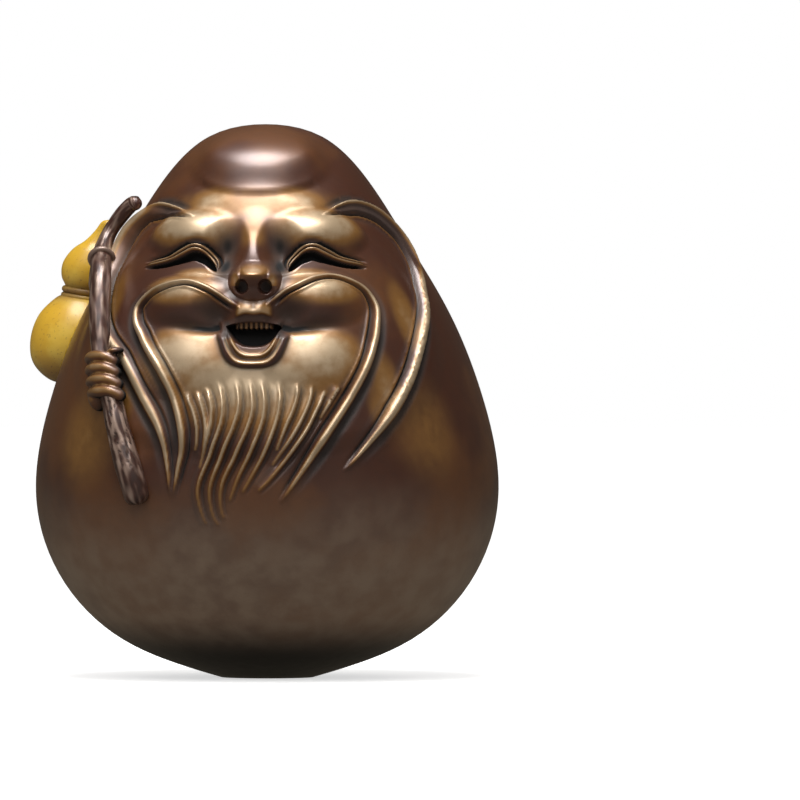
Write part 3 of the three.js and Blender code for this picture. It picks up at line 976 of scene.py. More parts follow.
@dataclass(frozen=True)
class Face:
    """All that is carved finely on the front of the egg."""

    arch_right: Points = (
        (5.4, 100.4), (9.1, 102.9), (15.2, 105.3), (22.2, 107.7),
        (27.7, 108.2), (32.9, 107.1), (38.6, 104.3), (40.5, 100.1),
    )
    moustache_right: Points = ((38.4, 94.4), (34.9, 88.1), (27.7, 77.6), (20.0, 67.0), (7.8, 47.9))
    arch_left: Points = (
        (-3.6, 99.5), (-8.6, 102.3), (-14.4, 104.6), (-20.7, 105.9),
        (-28.5, 104.7), (-34.4, 102.8), (-38.0, 100.0),
    )
    moustache_left: Points = (
        (-37.0, 96.4), (-32.7, 92.0), (-23.9, 83.2), (-18.8, 74.5),
        (-16.2, 65.0), (-17.2, 57.4), (-18.7, 49.4),
    )
    brow_right: Points = (
        (28.5, 123.9), (33.6, 125.1), (44.7, 126.9), (54.1, 126.9), (65.8, 124.3), (74.1, 118.6),
        (74.0, 112.5), (66.0, 103.5), (53.7, 90.6), (45.1, 80.1), (35.9, 69.7), (23.6, 56.4),
    )
    brow_left: Points = (
        (-25.0, 123.4), (-34.1, 124.9), (-44.2, 126.0), (-53.0, 126.2), (-61.0, 125.0),
        (-66.5, 121.5), (-67.5, 116.5), (-64.5, 110.5), (-57.0, 101.5), (-48.0, 93.0),
        (-37.4, 85.8), (-29.4, 77.0), (-22.5, 67.2), (-20.2, 58.2), (-19.2, 49.4),
    )
    slit_line: Points = (
        (12.4, 109.4), (15.3, 111.5), (18.3, 112.9), (21.8, 113.6),
        (25.5, 112.9), (33.8, 111.2), (44.3, 110.3),
    )
    smile_line: Points = ((8.5, 95.5), (12, 94.6), (17, 94.6), (24, 95.4), (34, 96.6))
    smile_groove: Stroke = Stroke(0.0, 1.5, 1.5)
    smile_shade: Stroke = Stroke(-0.3, 1.7)
    # Pads of rubbing wear on the raised forms, with painted highlight where they face the light (forehead,
    # bridge, lids, cheeks, jowls, chin) and painted warm reflection beside the face.
    rubbed_and_highlit: Sequence[Pad] = (
        Pad(0, 127.0, 38, 7, 0.45, down=5),
        Pad(21, 128.5, 11, 5, 0.75, down=7),
        Pad(0, 119, 5, 11, 0.45, down=5),
        Pad(27, 121.0, 16, 8, 1.1, down=7),
        Pad(23, 104.5, 14, 5, 0.9, down=6),
        Pad(19, 108.7, 9, 2.4, 0.7),
        Pad(19, 88.0, 16, 9, 1.0, down=13),
        Pad(4, 82, 24, 8, 1.0, down=19),
        Pad(35, 74, 5, 9, 0.45),
        Pad(52, 97, 6, 14, 0.55),
    )
    # Painted warm reflection on the sides of the body.
    glowing: Sequence[Pad] = (
        Pad(-48, 64, 17, 20, 0.45),
        Pad(-53, 100, 6, 14, 0.45),
        Pad(50, 66, 16, 20, 0.35),
        Pad(38, 78, 6, 14, 0.6),
    )
    # Painted shade in the eye sockets, beside the nose, at the mouth's corners and under the cheeks.
    shaded: Sequence[Pad] = (
        Pad(10.5, 117, 5.5, 7.5, 0.95),
        Pad(10, 111.5, 4.5, 7.5, 1.0),
        Pad(11.5, 98.5, 7.5, 5.5, 0.8),
        Pad(19, 96.5, 12, 3.5, 0.5),
    )
    locks: Sequence[Points] = (
        ((-16.6, 77.8), (-15.5, 75.5), (-13.8, 72.1), (-12.7, 68.4), (-12.5, 64.8), (-13, 61.7)),
        ((-14, 78.1), (-12.5, 75.5), (-11.2, 72.1), (-10.5, 69), (-10.5, 64.8), (-11, 60.9)),
        (
            (-11.7, 79.1), (-10.2, 76.6), (-9.2, 73.2), (-9.2, 69.5),
            (-10, 64.8), (-11, 60.7), (-11.9, 57),
        ),
        (
            (-8.6, 81), (-7.1, 77.3), (-6.4, 74), (-6.5, 70),
            (-9, 61.4), (-12.1, 51.8), (-10.8, 44.2), (-9.6, 41.8),
        ),
        (
            (-3.8, 81.5), (-2.6, 77.2), (-2.3, 73.2), (-3.4, 68.7),
            (-6.5, 60.2), (-9.1, 51.8), (-8.3, 44.7), (-6.6, 41.6),
        ),
        (
            (0.1, 81.4), (0.9, 77.2), (1.2, 73.2), (0.2, 68.7),
            (-2.9, 60.9), (-6.2, 52.8), (-6.3, 46.3), (-5.3, 43.4),
        ),
        ((2.9, 81.4), (3.9, 77.8), (4.2, 74.2), (3.7, 70), (1, 62.2), (-2.1, 55.2), (-4.5, 48.1)),
        ((7.5, 81), (8.2, 77.4), (7.9, 73.4), (6.9, 69.2), (4.2, 61.7), (0.6, 54.4), (-1.4, 50.5)),
        ((12.7, 80.4), (12.6, 76.9), (11.4, 72.9), (9.8, 69.2), (8.3, 65.3), (7, 61.7)),
        ((16.7, 80), (15.9, 75.8), (14.1, 71.6), (12.2, 67.9), (10.2, 64.5), (8, 61.2), (5.8, 57.8)),
        ((20.9, 79.5), (18.7, 75.3), (16.6, 71.3), (14.7, 67.7), (10.4, 61.2), (5.1, 54.1), (2.2, 51)),
        ((24.1, 79.3), (22.1, 76.3), (20.1, 73.4), (18.1, 70.3)),
    )
    moustache_widths: Points = ((0, 0.5), (0.1, 0.7), (0.3, 0.9), (0.45, 1.5), (0.8, 1.6), (1, 0.5))
    moustache_rises: Points = (
        (0, 0.4), (0.06, 1.1), (0.3, 1.2), (0.45, 2.0), (0.8, 2.0), (0.97, 0.7), (1, 0),
    )
    brow_widths: Points = ((0, 0.4), (0.1, 1.7), (0.3, 2.0), (0.5, 1.9), (0.8, 1.9), (1, 0.4))
    brow_rises: Points = (
        (0, 0), (0.06, 1.8), (0.3, 2.3), (0.5, 2.3), (0.8, 2.1), (0.97, 0.8), (1, 0),
    )
    thick_brow_widths: Points = (
        (0, 0.4), (0.1, 1.7), (0.17, 2.3), (0.25, 3.0), (0.36, 3.0), (0.48, 1.8), (0.8, 1.8), (1, 0.4),
    )
    thick_brow_rises: Points = (
        (0, 0), (0.06, 1.8), (0.17, 2.7), (0.25, 4.0), (0.36, 3.6), (0.48, 2.2), (0.97, 0.8), (1, 0),
    )
    hair_reach: float = 3.3
    arch_reach: float = 2.0
    lid_reach: float = 3.9
    cell_behind: float = 9.0
    cell_in_front: float = 2.0
    cell_of_face: float = 1.0
    cell_of_hair: float = 0.5
    cell_of_lips: float = 0.25

    def strands(self) -> list[Strand]:
        """Return the moustaches and the brows.

        Returns:
            The right and left moustache, and the right and left brow. The staff stands before the
            left one's thickest stretch.
        """
        right = (*self.arch_right, *self.moustache_right)
        left = (*self.arch_left, *self.moustache_left)
        thick = (self.thick_brow_widths, self.thick_brow_rises)
        return [
            Strand(right, 1, self.moustache_widths, self.moustache_rises),
            Strand(left, -1, self.moustache_widths, self.moustache_rises),
            Strand(self.brow_right, 1, self.brow_widths, self.brow_rises, blade_until=0.42, rough=0.07),
            Strand(self.brow_left, -1, *thick, blade_until=0.22),
        ]

    def wanted_cell(self, egg: Egg, turn: Array, height: Array) -> Array:
        """Say how fine the mesh has to be.

        Args:
            egg: The egg that carries the face.
            turn: Places, in degrees from the front.
            height: Their heights.

        Returns:
            The widest edge that each place can do with, in millimetres.
        """
        places, _ = egg.skin(turn, height)
        in_front = (np.abs(turn) < 95) & (height > 36) & (height < 147)
        cell = np.where(in_front, self.cell_in_front, self.cell_behind)
        face = np.hypot(turn / 82.0, (height - 92) / 45.0) < 1
        cell = np.where(face, self.cell_of_face, cell)
        arches, slits = (self.arch_right, self.arch_left), (self.slit_line, mirrored(self.slit_line))
        lines = [(strand.points, self.hair_reach, self.cell_of_hair) for strand in self.strands()]
        lines += [(points, self.arch_reach, self.cell_of_lips) for points in arches]
        lines += [(points, self.lid_reach, self.cell_of_lips) for points in slits]
        for points, reach, size in lines:
            near = SkinLine(egg, points, 1, 120).read(places, reach).index
            cell[near] = np.minimum(cell[near], size)
        beard = np.hypot((turn - 2 + (80 - height) * 0.2) / 23.0, (height - 62) / 24.0) < 1
        cell = np.where(beard, np.minimum(cell, self.cell_of_hair), cell)
        mouth = (np.abs(turn - 1) < 11) & (height > 83.5) & (height < 100)
        nose = (np.abs(turn - 1) < 9.5) & (height >= 100) & (height < 113)
        return np.where(mouth | nose, self.cell_of_lips, cell)

    def carve(self, relief: Relief, egg: Egg) -> None:
        """Carve the whole face into the relief.

        Args:
            relief: The relief to carve.
            egg: The egg that carries it.
        """
        # rubbing wear with painted highlight
        relief.tint(Mask.WORN_AND_HIGHLIGHT, self.rubbed_and_highlit)
        # painted warm reflection
        relief.tint(Mask.WORN_AND_HIGHLIGHT, self.glowing, (1,))
        # painted shade
        relief.tint(Mask.GRIME_AND_SHADE, self.shaded)
        for points, hand in ((self.smile_line, 1), (mirrored(self.smile_line), -1)):
            seen = SkinLine(egg, points, hand).read(relief.places, 5.0)
            ends = window(seen.share, (0, 0.05), (0.2, 1))
            relief.swell[seen.index] -= ends * self.smile_groove.soft(seen.gap)
            # painted shade along the crease below the cheek
            shade = smoothstep(self.smile_shade.soft(seen.aside), 0.1, 0.9)
            relief.mark(Mask.GRIME_AND_SHADE, seen.index, ends * shade)
        for points in self.locks:
            Lock(points).carve(relief, egg)
        for strand in self.strands():
            strand.carve(relief, egg)
        Eye(self.slit_line, 1).carve(relief, egg)
        Eye(mirrored(self.slit_line), -1).carve(relief, egg)
        Nose().carve(relief)
        Mouth().carve(relief)


def choose(*pieces: bpy.types.Object) -> None:
    """Leave edit mode and select only some pieces, the first of them active.

    Args:
        pieces: The pieces, if any.
    """
    if bpy.context.mode != "OBJECT":
        bpy.ops.object.mode_set(mode="OBJECT")
    bpy.ops.object.select_all(action="DESELECT")
    for piece in pieces:
        piece.select_set(True)
    if pieces:
        bpy.context.view_layer.objects.active = pieces[0]


def added(name: str) -> bpy.types.Object:
    """Name the primitive that was just added, and apply its place, turn and scale.

    Args:
        name: The piece's name.

    Returns:
        The piece.
    """
    piece = bpy.context.active_object
    piece.name = name
    piece.data.name = name
    bpy.ops.object.transform_apply(location=True, rotation=True, scale=True)
    return piece


def grid_primitive(name: str, columns: int, rows: int) -> bpy.types.Object:
    """Add a flat unit grid to be wrapped into a piece.

    Args:
        name: The piece's name.
        columns: Faces along X.
        rows: Faces along Y.

    Returns:
        The grid, whose vertices run from 0 to 1 along X and Y.
    """
    choose()
    middle = (0.5, 0.5, 0.0)
    bpy.ops.mesh.primitive_grid_add(x_subdivisions=columns, y_subdivisions=rows, size=1.0, location=middle)
    return added(name)


def join(pieces: Sequence[bpy.types.Object], name: str) -> bpy.types.Object:
    """Join pieces into one.

    Args:
        pieces: The pieces.
        name: The name of the whole.

    Returns:
        The first piece, which then holds them all.
    """
    choose(*pieces)
    bpy.ops.object.join()
    pieces[0].name = name
    pieces[0].data.name = name
    return pieces[0]


def vectors(parts: Any, name: str) -> Array:
    """Read a vector of each part of a mesh.

    Args:
        parts: The mesh's vertices or faces.
        name: What to read, such as co or normal.

    Returns:
        Rows of x, y and z.
    """
    flat = np.empty(3 * len(parts))
    parts.foreach_get(name, flat)
    return flat.reshape(-1, 3)


def vertex_places(piece: bpy.types.Object) -> Array:
    """Return a piece's vertices as rows of x, y and z."""
    return vectors(piece.data.vertices, "co")


def place_vertices(piece: bpy.types.Object, places: Array) -> None:
    """Move a piece's vertices to places given in millimetres."""
    piece.data.vertices.foreach_set("co", (places * MM).ravel())
    piece.data.update()


def weld(piece: bpy.types.Object, gap: float = 0.004) -> None:
    """Merge a piece's seams and poles, and turn its faces outwards.

    Args:
        piece: The piece.
        gap: How far apart vertices still merge, in millimetres.
    """
    choose(piece)
    bpy.ops.object.mode_set(mode="EDIT")
    bpy.ops.mesh.select_all(action="SELECT")
    bpy.ops.mesh.remove_doubles(threshold=gap * MM)
    bpy.ops.mesh.normals_make_consistent(inside=False)
    bpy.ops.object.mode_set(mode="OBJECT")
    bpy.ops.object.shade_smooth()


def edit_chosen(
    piece: bpy.types.Object, vertices: Optional[Array] = None, faces: Optional[Array] = None
) -> None:
    """Enter edit mode with only the chosen vertices or faces selected.

    Args:
        piece: The piece to edit.
        vertices: Whether each vertex is chosen.
        faces: Whether each face is chosen, instead.
    """
    choose(piece)
    mesh = piece.data
    for parts, chosen in ((mesh.vertices, vertices), (mesh.edges, None), (mesh.polygons, faces)):
        parts.foreach_set("select", np.zeros(len(parts), bool) if chosen is None else chosen)
    by_face = faces is not None
    bpy.context.tool_settings.mesh_select_mode = (not by_face, False, by_face)
    bpy.ops.object.mode_set(mode="EDIT")
    bpy.ops.mesh.select_mode(type="FACE" if by_face else "VERT")


def refine(piece: bpy.types.Object, chosen: Array) -> None:
    """Cut faces of a piece in four.

    Args:
        piece: The piece.
        chosen: Whether each of its faces is cut.
    """
    edit_chosen(piece, faces=chosen)
    bpy.ops.mesh.subdivide(number_cuts=1, ngon=False)
    bpy.ops.object.mode_set(mode="OBJECT")


def store_masks(piece: bpy.types.Object, masks: dict[Mask, Array]) -> None:
    """Keep the masks of each vertex of a piece, for its finish.

    Args:
        piece: The piece.
        masks: Each mask with one number for each vertex.
    """
    for mask, values in masks.items():
        layer = piece.data.attributes.new(mask.value, "FLOAT", "POINT")
        layer.data.foreach_set("value", values.astype(np.float32))


def declare(piece: bpy.types.Object, finish: bpy.types.Material) -> None:
    """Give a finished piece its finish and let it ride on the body.

    Args:
        piece: The piece.
        finish: Its material.
    """
    piece.data.materials.append(finish)
    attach(piece, "root")
    LOG.info("%s: %d faces", piece.name, len(piece.data.polygons))


Number = Union[int, float, "Value"]


class Value:
    """A number in a shader that takes part in sums written as Python."""

    def __init__(self, tree: bpy.types.NodeTree, socket: bpy.types.NodeSocket) -> None:
        """Wrap an output socket of a tree."""
        self.tree = tree
        self.socket = socket

    def math(self, operation: str, *others: Number, swap: bool = False) -> "Value":
        """Add a Math node.

        Args:
            operation: The node's operation.
            others: Its further inputs.
            swap: Whether this value is the second input.

        Returns:
            The node's result.
        """
        node = self.tree.nodes.new("ShaderNodeMath")
        node.operation = operation
        inputs = [self, *others]
        if swap:
            inputs.reverse()
        for socket, given in zip(node.inputs, inputs):
            if isinstance(given, Value):
                self.tree.links.new(given.socket, socket)
            else:
                socket.default_value = given
        return Value(self.tree, node.outputs[0])

    def __add__(self, other: Number) -> "Value":
        """Add."""
        return self.math("ADD", other)

    __radd__ = __add__

    def __sub__(self, other: Number) -> "Value":
        """Subtract."""
        return self.math("SUBTRACT", other)

    def __rsub__(self, other: Number) -> "Value":
        """Subtract from a number."""
        return self.math("SUBTRACT", other, swap=True)

    def __mul__(self, other: Number) -> "Value":
        """Multiply."""
        return self.math("MULTIPLY", other)

    __rmul__ = __mul__

    def __truediv__(self, other: Number) -> "Value":
        """Divide."""
        return self.math("DIVIDE", other)

    def at_most(self, other: Number) -> "Value":
        """Return the lesser."""
        return self.math("MINIMUM", other)


class Shader:
    """The node tree of one material or of the world.

    The Mix node has sockets of one name for each kind of data, so its colours go by number.
    """

    mix_inputs = (6, 7)
    mix_output = 2

    def __init__(self, owner: Union[bpy.types.Material, bpy.types.World]) -> None:
        """Empty the owner's tree.

        Args:
            owner: The material or the world.
        """
        self.owner = owner
        owner.use_nodes = True
        self.tree = owner.node_tree
        self.tree.nodes.clear()
        coordinates = self.node("ShaderNodeTexCoord")
        self.place = coordinates.outputs["Object"]
        self.direction = coordinates.outputs["Generated"]

    def node(
        self,
        kind: str,
        settings: Optional[dict[str, Any]] = None,
        inputs: Optional[dict[Any, Any]] = None,
    ) -> bpy.types.Node:
        """Add a node.

        Args:
            kind: The node's type.
            settings: Its own settings, set first; "stops" are a ramp's places and colours.
            inputs: Values or links of its sockets, by name or number.

        Returns:
            The node.
        """
        node = self.tree.nodes.new(kind)
        for name, setting in (settings or {}).items():
            if name == "stops":
                ramp = node.color_ramp
                while len(ramp.elements) < len(setting):
                    ramp.elements.new(1.0)
                for element, (place, color) in zip(ramp.elements, setting):
                    element.position = place
                    element.color = color
            else:
                setattr(node, name, setting)
        for key, given in (inputs or {}).items():
            socket = node.inputs[key]
            if isinstance(given, Value):
                self.tree.links.new(given.socket, socket)
            elif isinstance(given, bpy.types.NodeSocket):
                self.tree.links.new(given, socket)
            else:
                socket.default_value = given
        return node

    def value(self, socket: bpy.types.NodeSocket) -> Value:
        """Wrap an output for sums."""
        return Value(self.tree, socket)

    def noise(self, pitch: float, detail: float = 3.0, stretch: Sequence[float] = (1, 1, 1)) -> Value:
        """Add cloudy noise over the piece.

        Args:
            pitch: The size of its clouds, in millimetres.
            detail: How many finer layers it has.
            stretch: How much finer it is along each axis.

        Returns:
            The noise, mostly from 0.3 to 0.7.
        """
        mapping = self.node("ShaderNodeMapping", inputs={"Vector": self.place, "Scale": stretch})
        node = self.node(
            "ShaderNodeTexNoise",
            inputs={"Vector": mapping.outputs[0], "Scale": 1 / (pitch * MM), "Detail": detail},
        )
        return self.value(node.outputs["Fac"])

    def ease(self, value: Value, low: float, high: float) -> Value:
        """Ease a value from 0 to 1.

        Args:
            value: The value.
            low: Where it starts to rise.
            high: Where it has risen.

        Returns:
            The eased value.
        """
        smooth = {"interpolation_type": "SMOOTHSTEP"}
        inputs = {"Value": value, "From Min": low, "From Max": high}
        return self.value(self.node("ShaderNodeMapRange", smooth, inputs).outputs[0])

    def mask(self, mask: Mask) -> Value:
        """Read one of the piece's own masks."""
        return self.value(self.node("ShaderNodeAttribute", {"attribute_name": mask.value}).outputs["Fac"])

    def height(self) -> Value:
        """Return the height over the foot, in millimetres."""
        split = self.node("ShaderNodeSeparateXYZ", inputs={0: self.place})
        return self.value(split.outputs["Z"]) / MM

    def mix(self, factor: Number, first: Any, second: Any) -> bpy.types.NodeSocket:
        """Mix two colours."""
        inputs = {"Factor": factor, self.mix_inputs[0]: first, self.mix_inputs[1]: second}
        return self.node("ShaderNodeMix", {"data_type": "RGBA"}, inputs).outputs[self.mix_output]

    def bump(self, height: Value, depth: float, strength: float) -> bpy.types.NodeSocket:
        """Turn a height pattern, in shares of a depth in millimetres, into a normal."""
        inputs = {"Strength": strength, "Distance": depth * MM, "Height": height}
        return self.node("ShaderNodeBump", inputs=inputs).outputs[0]

    def finish(self, inputs: dict[str, Any]) -> bpy.types.Material:
        """Close the material with a Principled shader.

        Args:
            inputs: Values or links of the shader's sockets.

        Returns:
            The material.
        """
        shader = self.node("ShaderNodeBsdfPrincipled", inputs=inputs)
        self.node("ShaderNodeOutputMaterial", inputs={"Surface": shader.outputs[0]})
        return self.owner


@dataclass(frozen=True)
class Patina:
    """Brown patinated copper alloy, with rubbing wear and painted highlights on its crests and lit forms,
    grime and painted shade in its hollows and creases, painted shade at its base, and a dusty tint with
    painted floor light on its lower body.

    A noise is given by its pitch in millimetres and its count of layers. The spans are heights in
    millimetres over which a colour or the coat comes in or ends.
    """

    brown: Color = (0.092, 0.022, 0.006, 1.0)
    orange: Color = (0.190, 0.062, 0.009, 1.0)
    # amber, then pale gold: rubbing wear with painted highlight and painted warm reflection
    amber: Color = (0.36, 0.16, 0.026, 1.0)
    rubbed_and_highlit: Color = (0.66, 0.48, 0.29, 1.0)
    dark: Color = (0.026, 0.021, 0.018, 1.0)
    # paler grey-brown of the lower body: a dusty tint with painted light from the floor
    dust_and_floor_light: Color = (0.275, 0.182, 0.116, 1.0)
    # painted shade at the foot
    shade_black: Color = (0.010, 0.009, 0.007, 1.0)
    # painted shade in holes and deep creases
    deep_shade: Color = (0.003, 0.003, 0.003, 1.0)
    clouds: Span = (30.0, 3.0)
    mottle: Span = (2.6, 5.0)
    specks: Span = (0.5, 2.0)
    blotches: Span = (6.0, 4.0)
    grain: Span = (0.9, 3.0)
    orange_share: float = 0.7
    mottle_share: float = 0.12
    blotch_share: float = 0.35
    grime_and_shade_share: float = 0.92
    speck_share: float = 0.1
    rub_and_highlight_starts: Span = (42.0, 66.0)
    dust_and_floor_light_until: Span = (26.0, 58.0)
    dust_and_floor_light_sway: float = 24.0
    base_shade_until: Span = (5.0, 19.0)
    coat_starts: Span = (2.0, 30.0)
    metal: float = 0.4
    worn_and_highlight_metal: float = 0.3
    roughness: float = 0.42
    grime_and_shade_roughness: float = 0.42
    coat: float = 0.85
    coat_roughness: float = 0.36
    coat_ior: float = 1.85

    def material(self) -> bpy.types.Material:
        """Build the finish of the casting and the hand.

        Returns:
            The material.
        """
        shader = Shader(bpy.data.materials.new("brown patina"))
        height = shader.height()
        # wear and painted highlight are half as strong low on the body
        worn = shader.mask(Mask.WORN_AND_HIGHLIGHT) * (0.5 + 0.5 * shader.ease(height, *self.rub_and_highlight_starts))
        grime = shader.mask(Mask.GRIME_AND_SHADE)
        clouds = shader.noise(*self.clouds)
        mottle = shader.noise(*self.mottle)
        speck = shader.ease(shader.noise(*self.specks), 0.62, 0.72)
        color = shader.mix(shader.ease(clouds, 0.44, 0.62) * self.orange_share, self.brown, self.orange)
        color = shader.mix(shader.ease(mottle, 0.35, 0.75) * self.mottle_share, color, self.dark)
        # dusty tint with painted floor light over the lower body, in blotches
        dust_and_floor_light = 1 - shader.ease(height + (clouds - 0.5) * self.dust_and_floor_light_sway, *self.dust_and_floor_light_until)
        blotches = shader.ease(shader.noise(*self.blotches), 0.3, 0.7) * self.blotch_share
        color = shader.mix(dust_and_floor_light * (1 - self.blotch_share + blotches), color, self.dust_and_floor_light)
        # painted highlight and rubbing wear: amber, then pale gold
        bright = worn * (1 + (mottle - 0.5) * 0.7)
        color = shader.mix(shader.ease(bright, 0.0, 0.55), color, self.amber)
        color = shader.mix(shader.ease(bright, 0.4, 1.0), color, self.rubbed_and_highlit)
        # grime and painted shade darken the colour, and the deepest painted shade turns black
        soiled_and_shaded = (grime + speck * self.speck_share).at_most(1.0) * self.grime_and_shade_share
        color = shader.mix(soiled_and_shaded, color, self.dark)
        color = shader.mix(shader.ease(grime, 0.85, 1.0), color, self.deep_shade)
        # painted shade: black towards the foot
        color = shader.mix(1 - shader.ease(height, *self.base_shade_until), color, self.shade_black)
        rough = self.roughness + grime * self.grime_and_shade_roughness + (mottle - 0.5) * 0.12 + speck * 0.08
        grain = shader.noise(*self.grain) * 0.6 + mottle * 0.4
        return shader.finish(
            {
                "Base Color": color,
                "Metallic": (self.metal + worn * self.worn_and_highlight_metal) * (1 - grime),
                "Roughness": rough,
                "Coat Weight": self.coat * (1 - grime) * shader.ease(height, *self.coat_starts),
                "Coat Roughness": self.coat_roughness,
                "Coat IOR": self.coat_ior,
                "Normal": shader.bump(grain, depth=0.10, strength=0.3),
            }
        )


@dataclass(frozen=True)
class Bark:
    """The darker purple-brown patina of the staff, with grain along it and a painted highlight along its lit
    side; as Patina otherwise.
    """

    brown: Color = (0.090, 0.032, 0.020, 1.0)
    rubbed_and_highlit: Color = (0.50, 0.35, 0.27, 1.0)
    dark: Color = (0.018, 0.012, 0.010, 1.0)
    grain: Span = (1.4, 4.0)
    grain_stretch: Sequence[float] = (1.0, 1.0, 0.3)
    grain_share: float = 0.5
    worn_and_highlight_share: float = 0.85
    grime_and_shade_share: float = 0.9
    metal: float = 0.45
    roughness: float = 0.40
    coat: float = 0.8
    coat_roughness: float = 0.28
    coat_ior: float = 1.6

    def material(self) -> bpy.types.Material:
        """Build the finish of the staff and the cord.

        Returns:
            The material.
        """
        shader = Shader(bpy.data.materials.new("bark patina"))
        worn, grime = shader.mask(Mask.WORN_AND_HIGHLIGHT), shader.mask(Mask.GRIME_AND_SHADE)
        grain = shader.noise(*self.grain, self.grain_stretch)
        color = shader.mix(shader.ease(grain, 0.35, 0.7) * self.grain_share, self.brown, self.dark)
        # painted highlight along the staff's lit side, with pale grain streaks
        color = shader.mix(worn * self.worn_and_highlight_share, color, self.rubbed_and_highlit)
        color = shader.mix(grime * self.grime_and_shade_share, color, self.dark)
        return shader.finish(
            {
                "Base Color": color,
                "Metallic": self.metal * (1 - grime),
                "Roughness": self.roughness + grime * 0.3 + (grain - 0.5) * 0.2,
                "Coat Weight": self.coat * (1 - grime * 0.8),
                "Coat Roughness": self.coat_roughness,
                "Coat IOR": self.coat_ior,
                "Normal": shader.bump(grain, depth=0.25, strength=0.5),
            }
        )


@dataclass(frozen=True)
class MustardPaint:
    """The gourd's mustard-yellow paint, darker brown in its waist, towards its base and in stains and
    specks; as Patina otherwise.
    """

    yellow: Color = (0.58, 0.33, 0.016, 1.0)
    pale: Color = (0.68, 0.44, 0.045, 1.0)
    dark_brown: Color = (0.14, 0.062, 0.018, 1.0)
    clouds: Span = (9.0, 4.0)
    specks: Span = (0.8, 3.0)
    grain: Span = (1.6, 4.0)
    grime_and_shade_share: float = 0.85
    speck_share: float = 0.35
    cloud_share: float = 0.15
    roughness: float = 0.42
    coat: float = 0.35
    coat_roughness: float = 0.25

    def material(self) -> bpy.types.Material:
        """Build the finish of the gourd.

        Returns:
            The material.
        """
        shader = Shader(bpy.data.materials.new("mustard paint"))
        grime = shader.mask(Mask.GRIME_AND_SHADE)
        clouds = shader.noise(*self.clouds)
        speck = shader.ease(shader.noise(*self.specks), 0.60, 0.70) * self.speck_share
        stained = shader.ease(clouds, 0.55, 0.8) * self.cloud_share
        color = shader.mix(shader.ease(clouds, 0.4, 0.65), self.yellow, self.pale)
        darkened = (grime * self.grime_and_shade_share + speck + stained).at_most(1.0)
        color = shader.mix(darkened, color, self.dark_brown)
        return shader.finish(
            {
                "Base Color": color,
                "Metallic": 0.0,
                "Roughness": self.roughness + grime * 0.2 + (clouds - 0.5) * 0.15,
                "Coat Weight": self.coat,
                "Coat Roughness": self.coat_roughness,
                "Normal": shader.bump(shader.noise(*self.grain), depth=0.15, strength=0.3),
            }
        )


@dataclass(frozen=True)
class Casting:
    """The egg-shaped body with everything that is carved on it."""

    egg: Egg
    face: Face = field(default_factory=Face)
    columns: int = 120
    rows: int = 64
    levels: Sequence[float] = (3.1, 1.55, 0.78, 0.39)
    foot_rings: Sequence[float] = (0.6, 0.25)
    foot_level: float = 0.0001

    def build(self) -> bpy.types.Object:
        """Model the body: a grid cut finer where the carving is fine, wrapped round the egg.

        Returns:
            The piece.
        """
        piece = grid_primitive("casting", self.columns, self.rows)
        for size in self.levels:
            turn, share = self.unroll(vectors(piece.data.polygons, "center"))
            wanted = self.face.wanted_cell(self.egg, turn, self.egg.outline_at(share)[1])
            refine(piece, wanted < size)
        turn, share = self.unroll(vertex_places(piece))
        radius, height, _, _ = self.egg.outline_at(share)
        places, normals = self.egg.skin_at_share(turn, share)
        relief = Relief(turn, height, radius, places)
        self.face.carve(relief, self.egg)
        seam = np.abs(np.abs(turn) - 180) < TINY
        rise = np.where(seam, 0.0, relief.rise())
        store_masks(piece, relief.masks)
        place_vertices(piece, places + normals * rise[:, None] - relief.forward[:, None] * (0, 1, 0))
        self.close_foot(piece)
        weld(piece)
        return piece

    def unroll(self, flat: Array) -> tuple[Array, Array]:
        """Read turn and outline share from the grid's own X and Y."""
        return 360.0 * (flat[:, 0] - 0.5), self.egg.share_along(flat[:, 1])

    def close_foot(self, piece: bpy.types.Object) -> None:
        """Fill the flat foot with rings that run in to its middle.

        Args:
            piece: The body, open at its foot.
        """
        weld(piece)
        edit_chosen(piece, vertices=vertex_places(piece)[:, 2] < self.foot_level * MM)
        for share in self.foot_rings:
            bpy.ops.mesh.extrude_edges_move()
            bpy.ops.transform.resize(value=(share, share, 1.0))
        bpy.ops.mesh.merge(type="CENTER")
        bpy.ops.object.mode_set(mode="OBJECT")

    def dress(self, piece: bpy.types.Object) -> None:
        """Give the body its finish and let it stand for its solid."""
        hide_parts("figure")
        declare(piece, Patina().material())


def roll(
    name: str,
    columns: int,
    rows: int,
    place: Callable[[Array, Array], Array],
    masks: Optional[dict[Mask, Array]] = None,
) -> bpy.types.Object:
    """Roll a grid into a closed round piece.

    Args:
        name: The piece's name.
        columns: Faces round it.
        rows: Faces along it.
        place: Turns shares round and along into places in millimetres.
        masks: What place fills in for the piece's finish.

    Returns:
        The piece, welded along its seam and at its poles.
    """
    piece = grid_primitive(name, columns, rows)
    flat = vertex_places(piece)
    place_vertices(piece, place(flat[:, 0], flat[:, 1]))
    store_masks(piece, masks or {})
    weld(piece)
    return piece


def torus(name: str, sides: tuple[int, int], radius: float, thick: float) -> bpy.types.Object:
    """Add a ring at the origin, with Z as its axis.

    Args:
        name: The piece's name.
        sides: Faces round the ring and round its section.
        radius: From the ring's middle to its section's middle, in millimetres.
        thick: The section's radius, in millimetres.

    Returns:
        The ring, its vertices in millimetres.
    """
    choose()
    bpy.ops.mesh.primitive_torus_add(
        major_segments=sides[0], minor_segments=sides[1], major_radius=radius, minor_radius=thick
    )
    return added(name)


def round_ends(share: Array, length: float, radius: float) -> Array:
    """Return a rod's girth along its length, rounded to a point at both ends."""
    left = np.clip(np.minimum(share, 1 - share) * length / radius, 0, 1)
    return np.sqrt(np.clip(1 - (1 - left) ** 2, 0, 1))


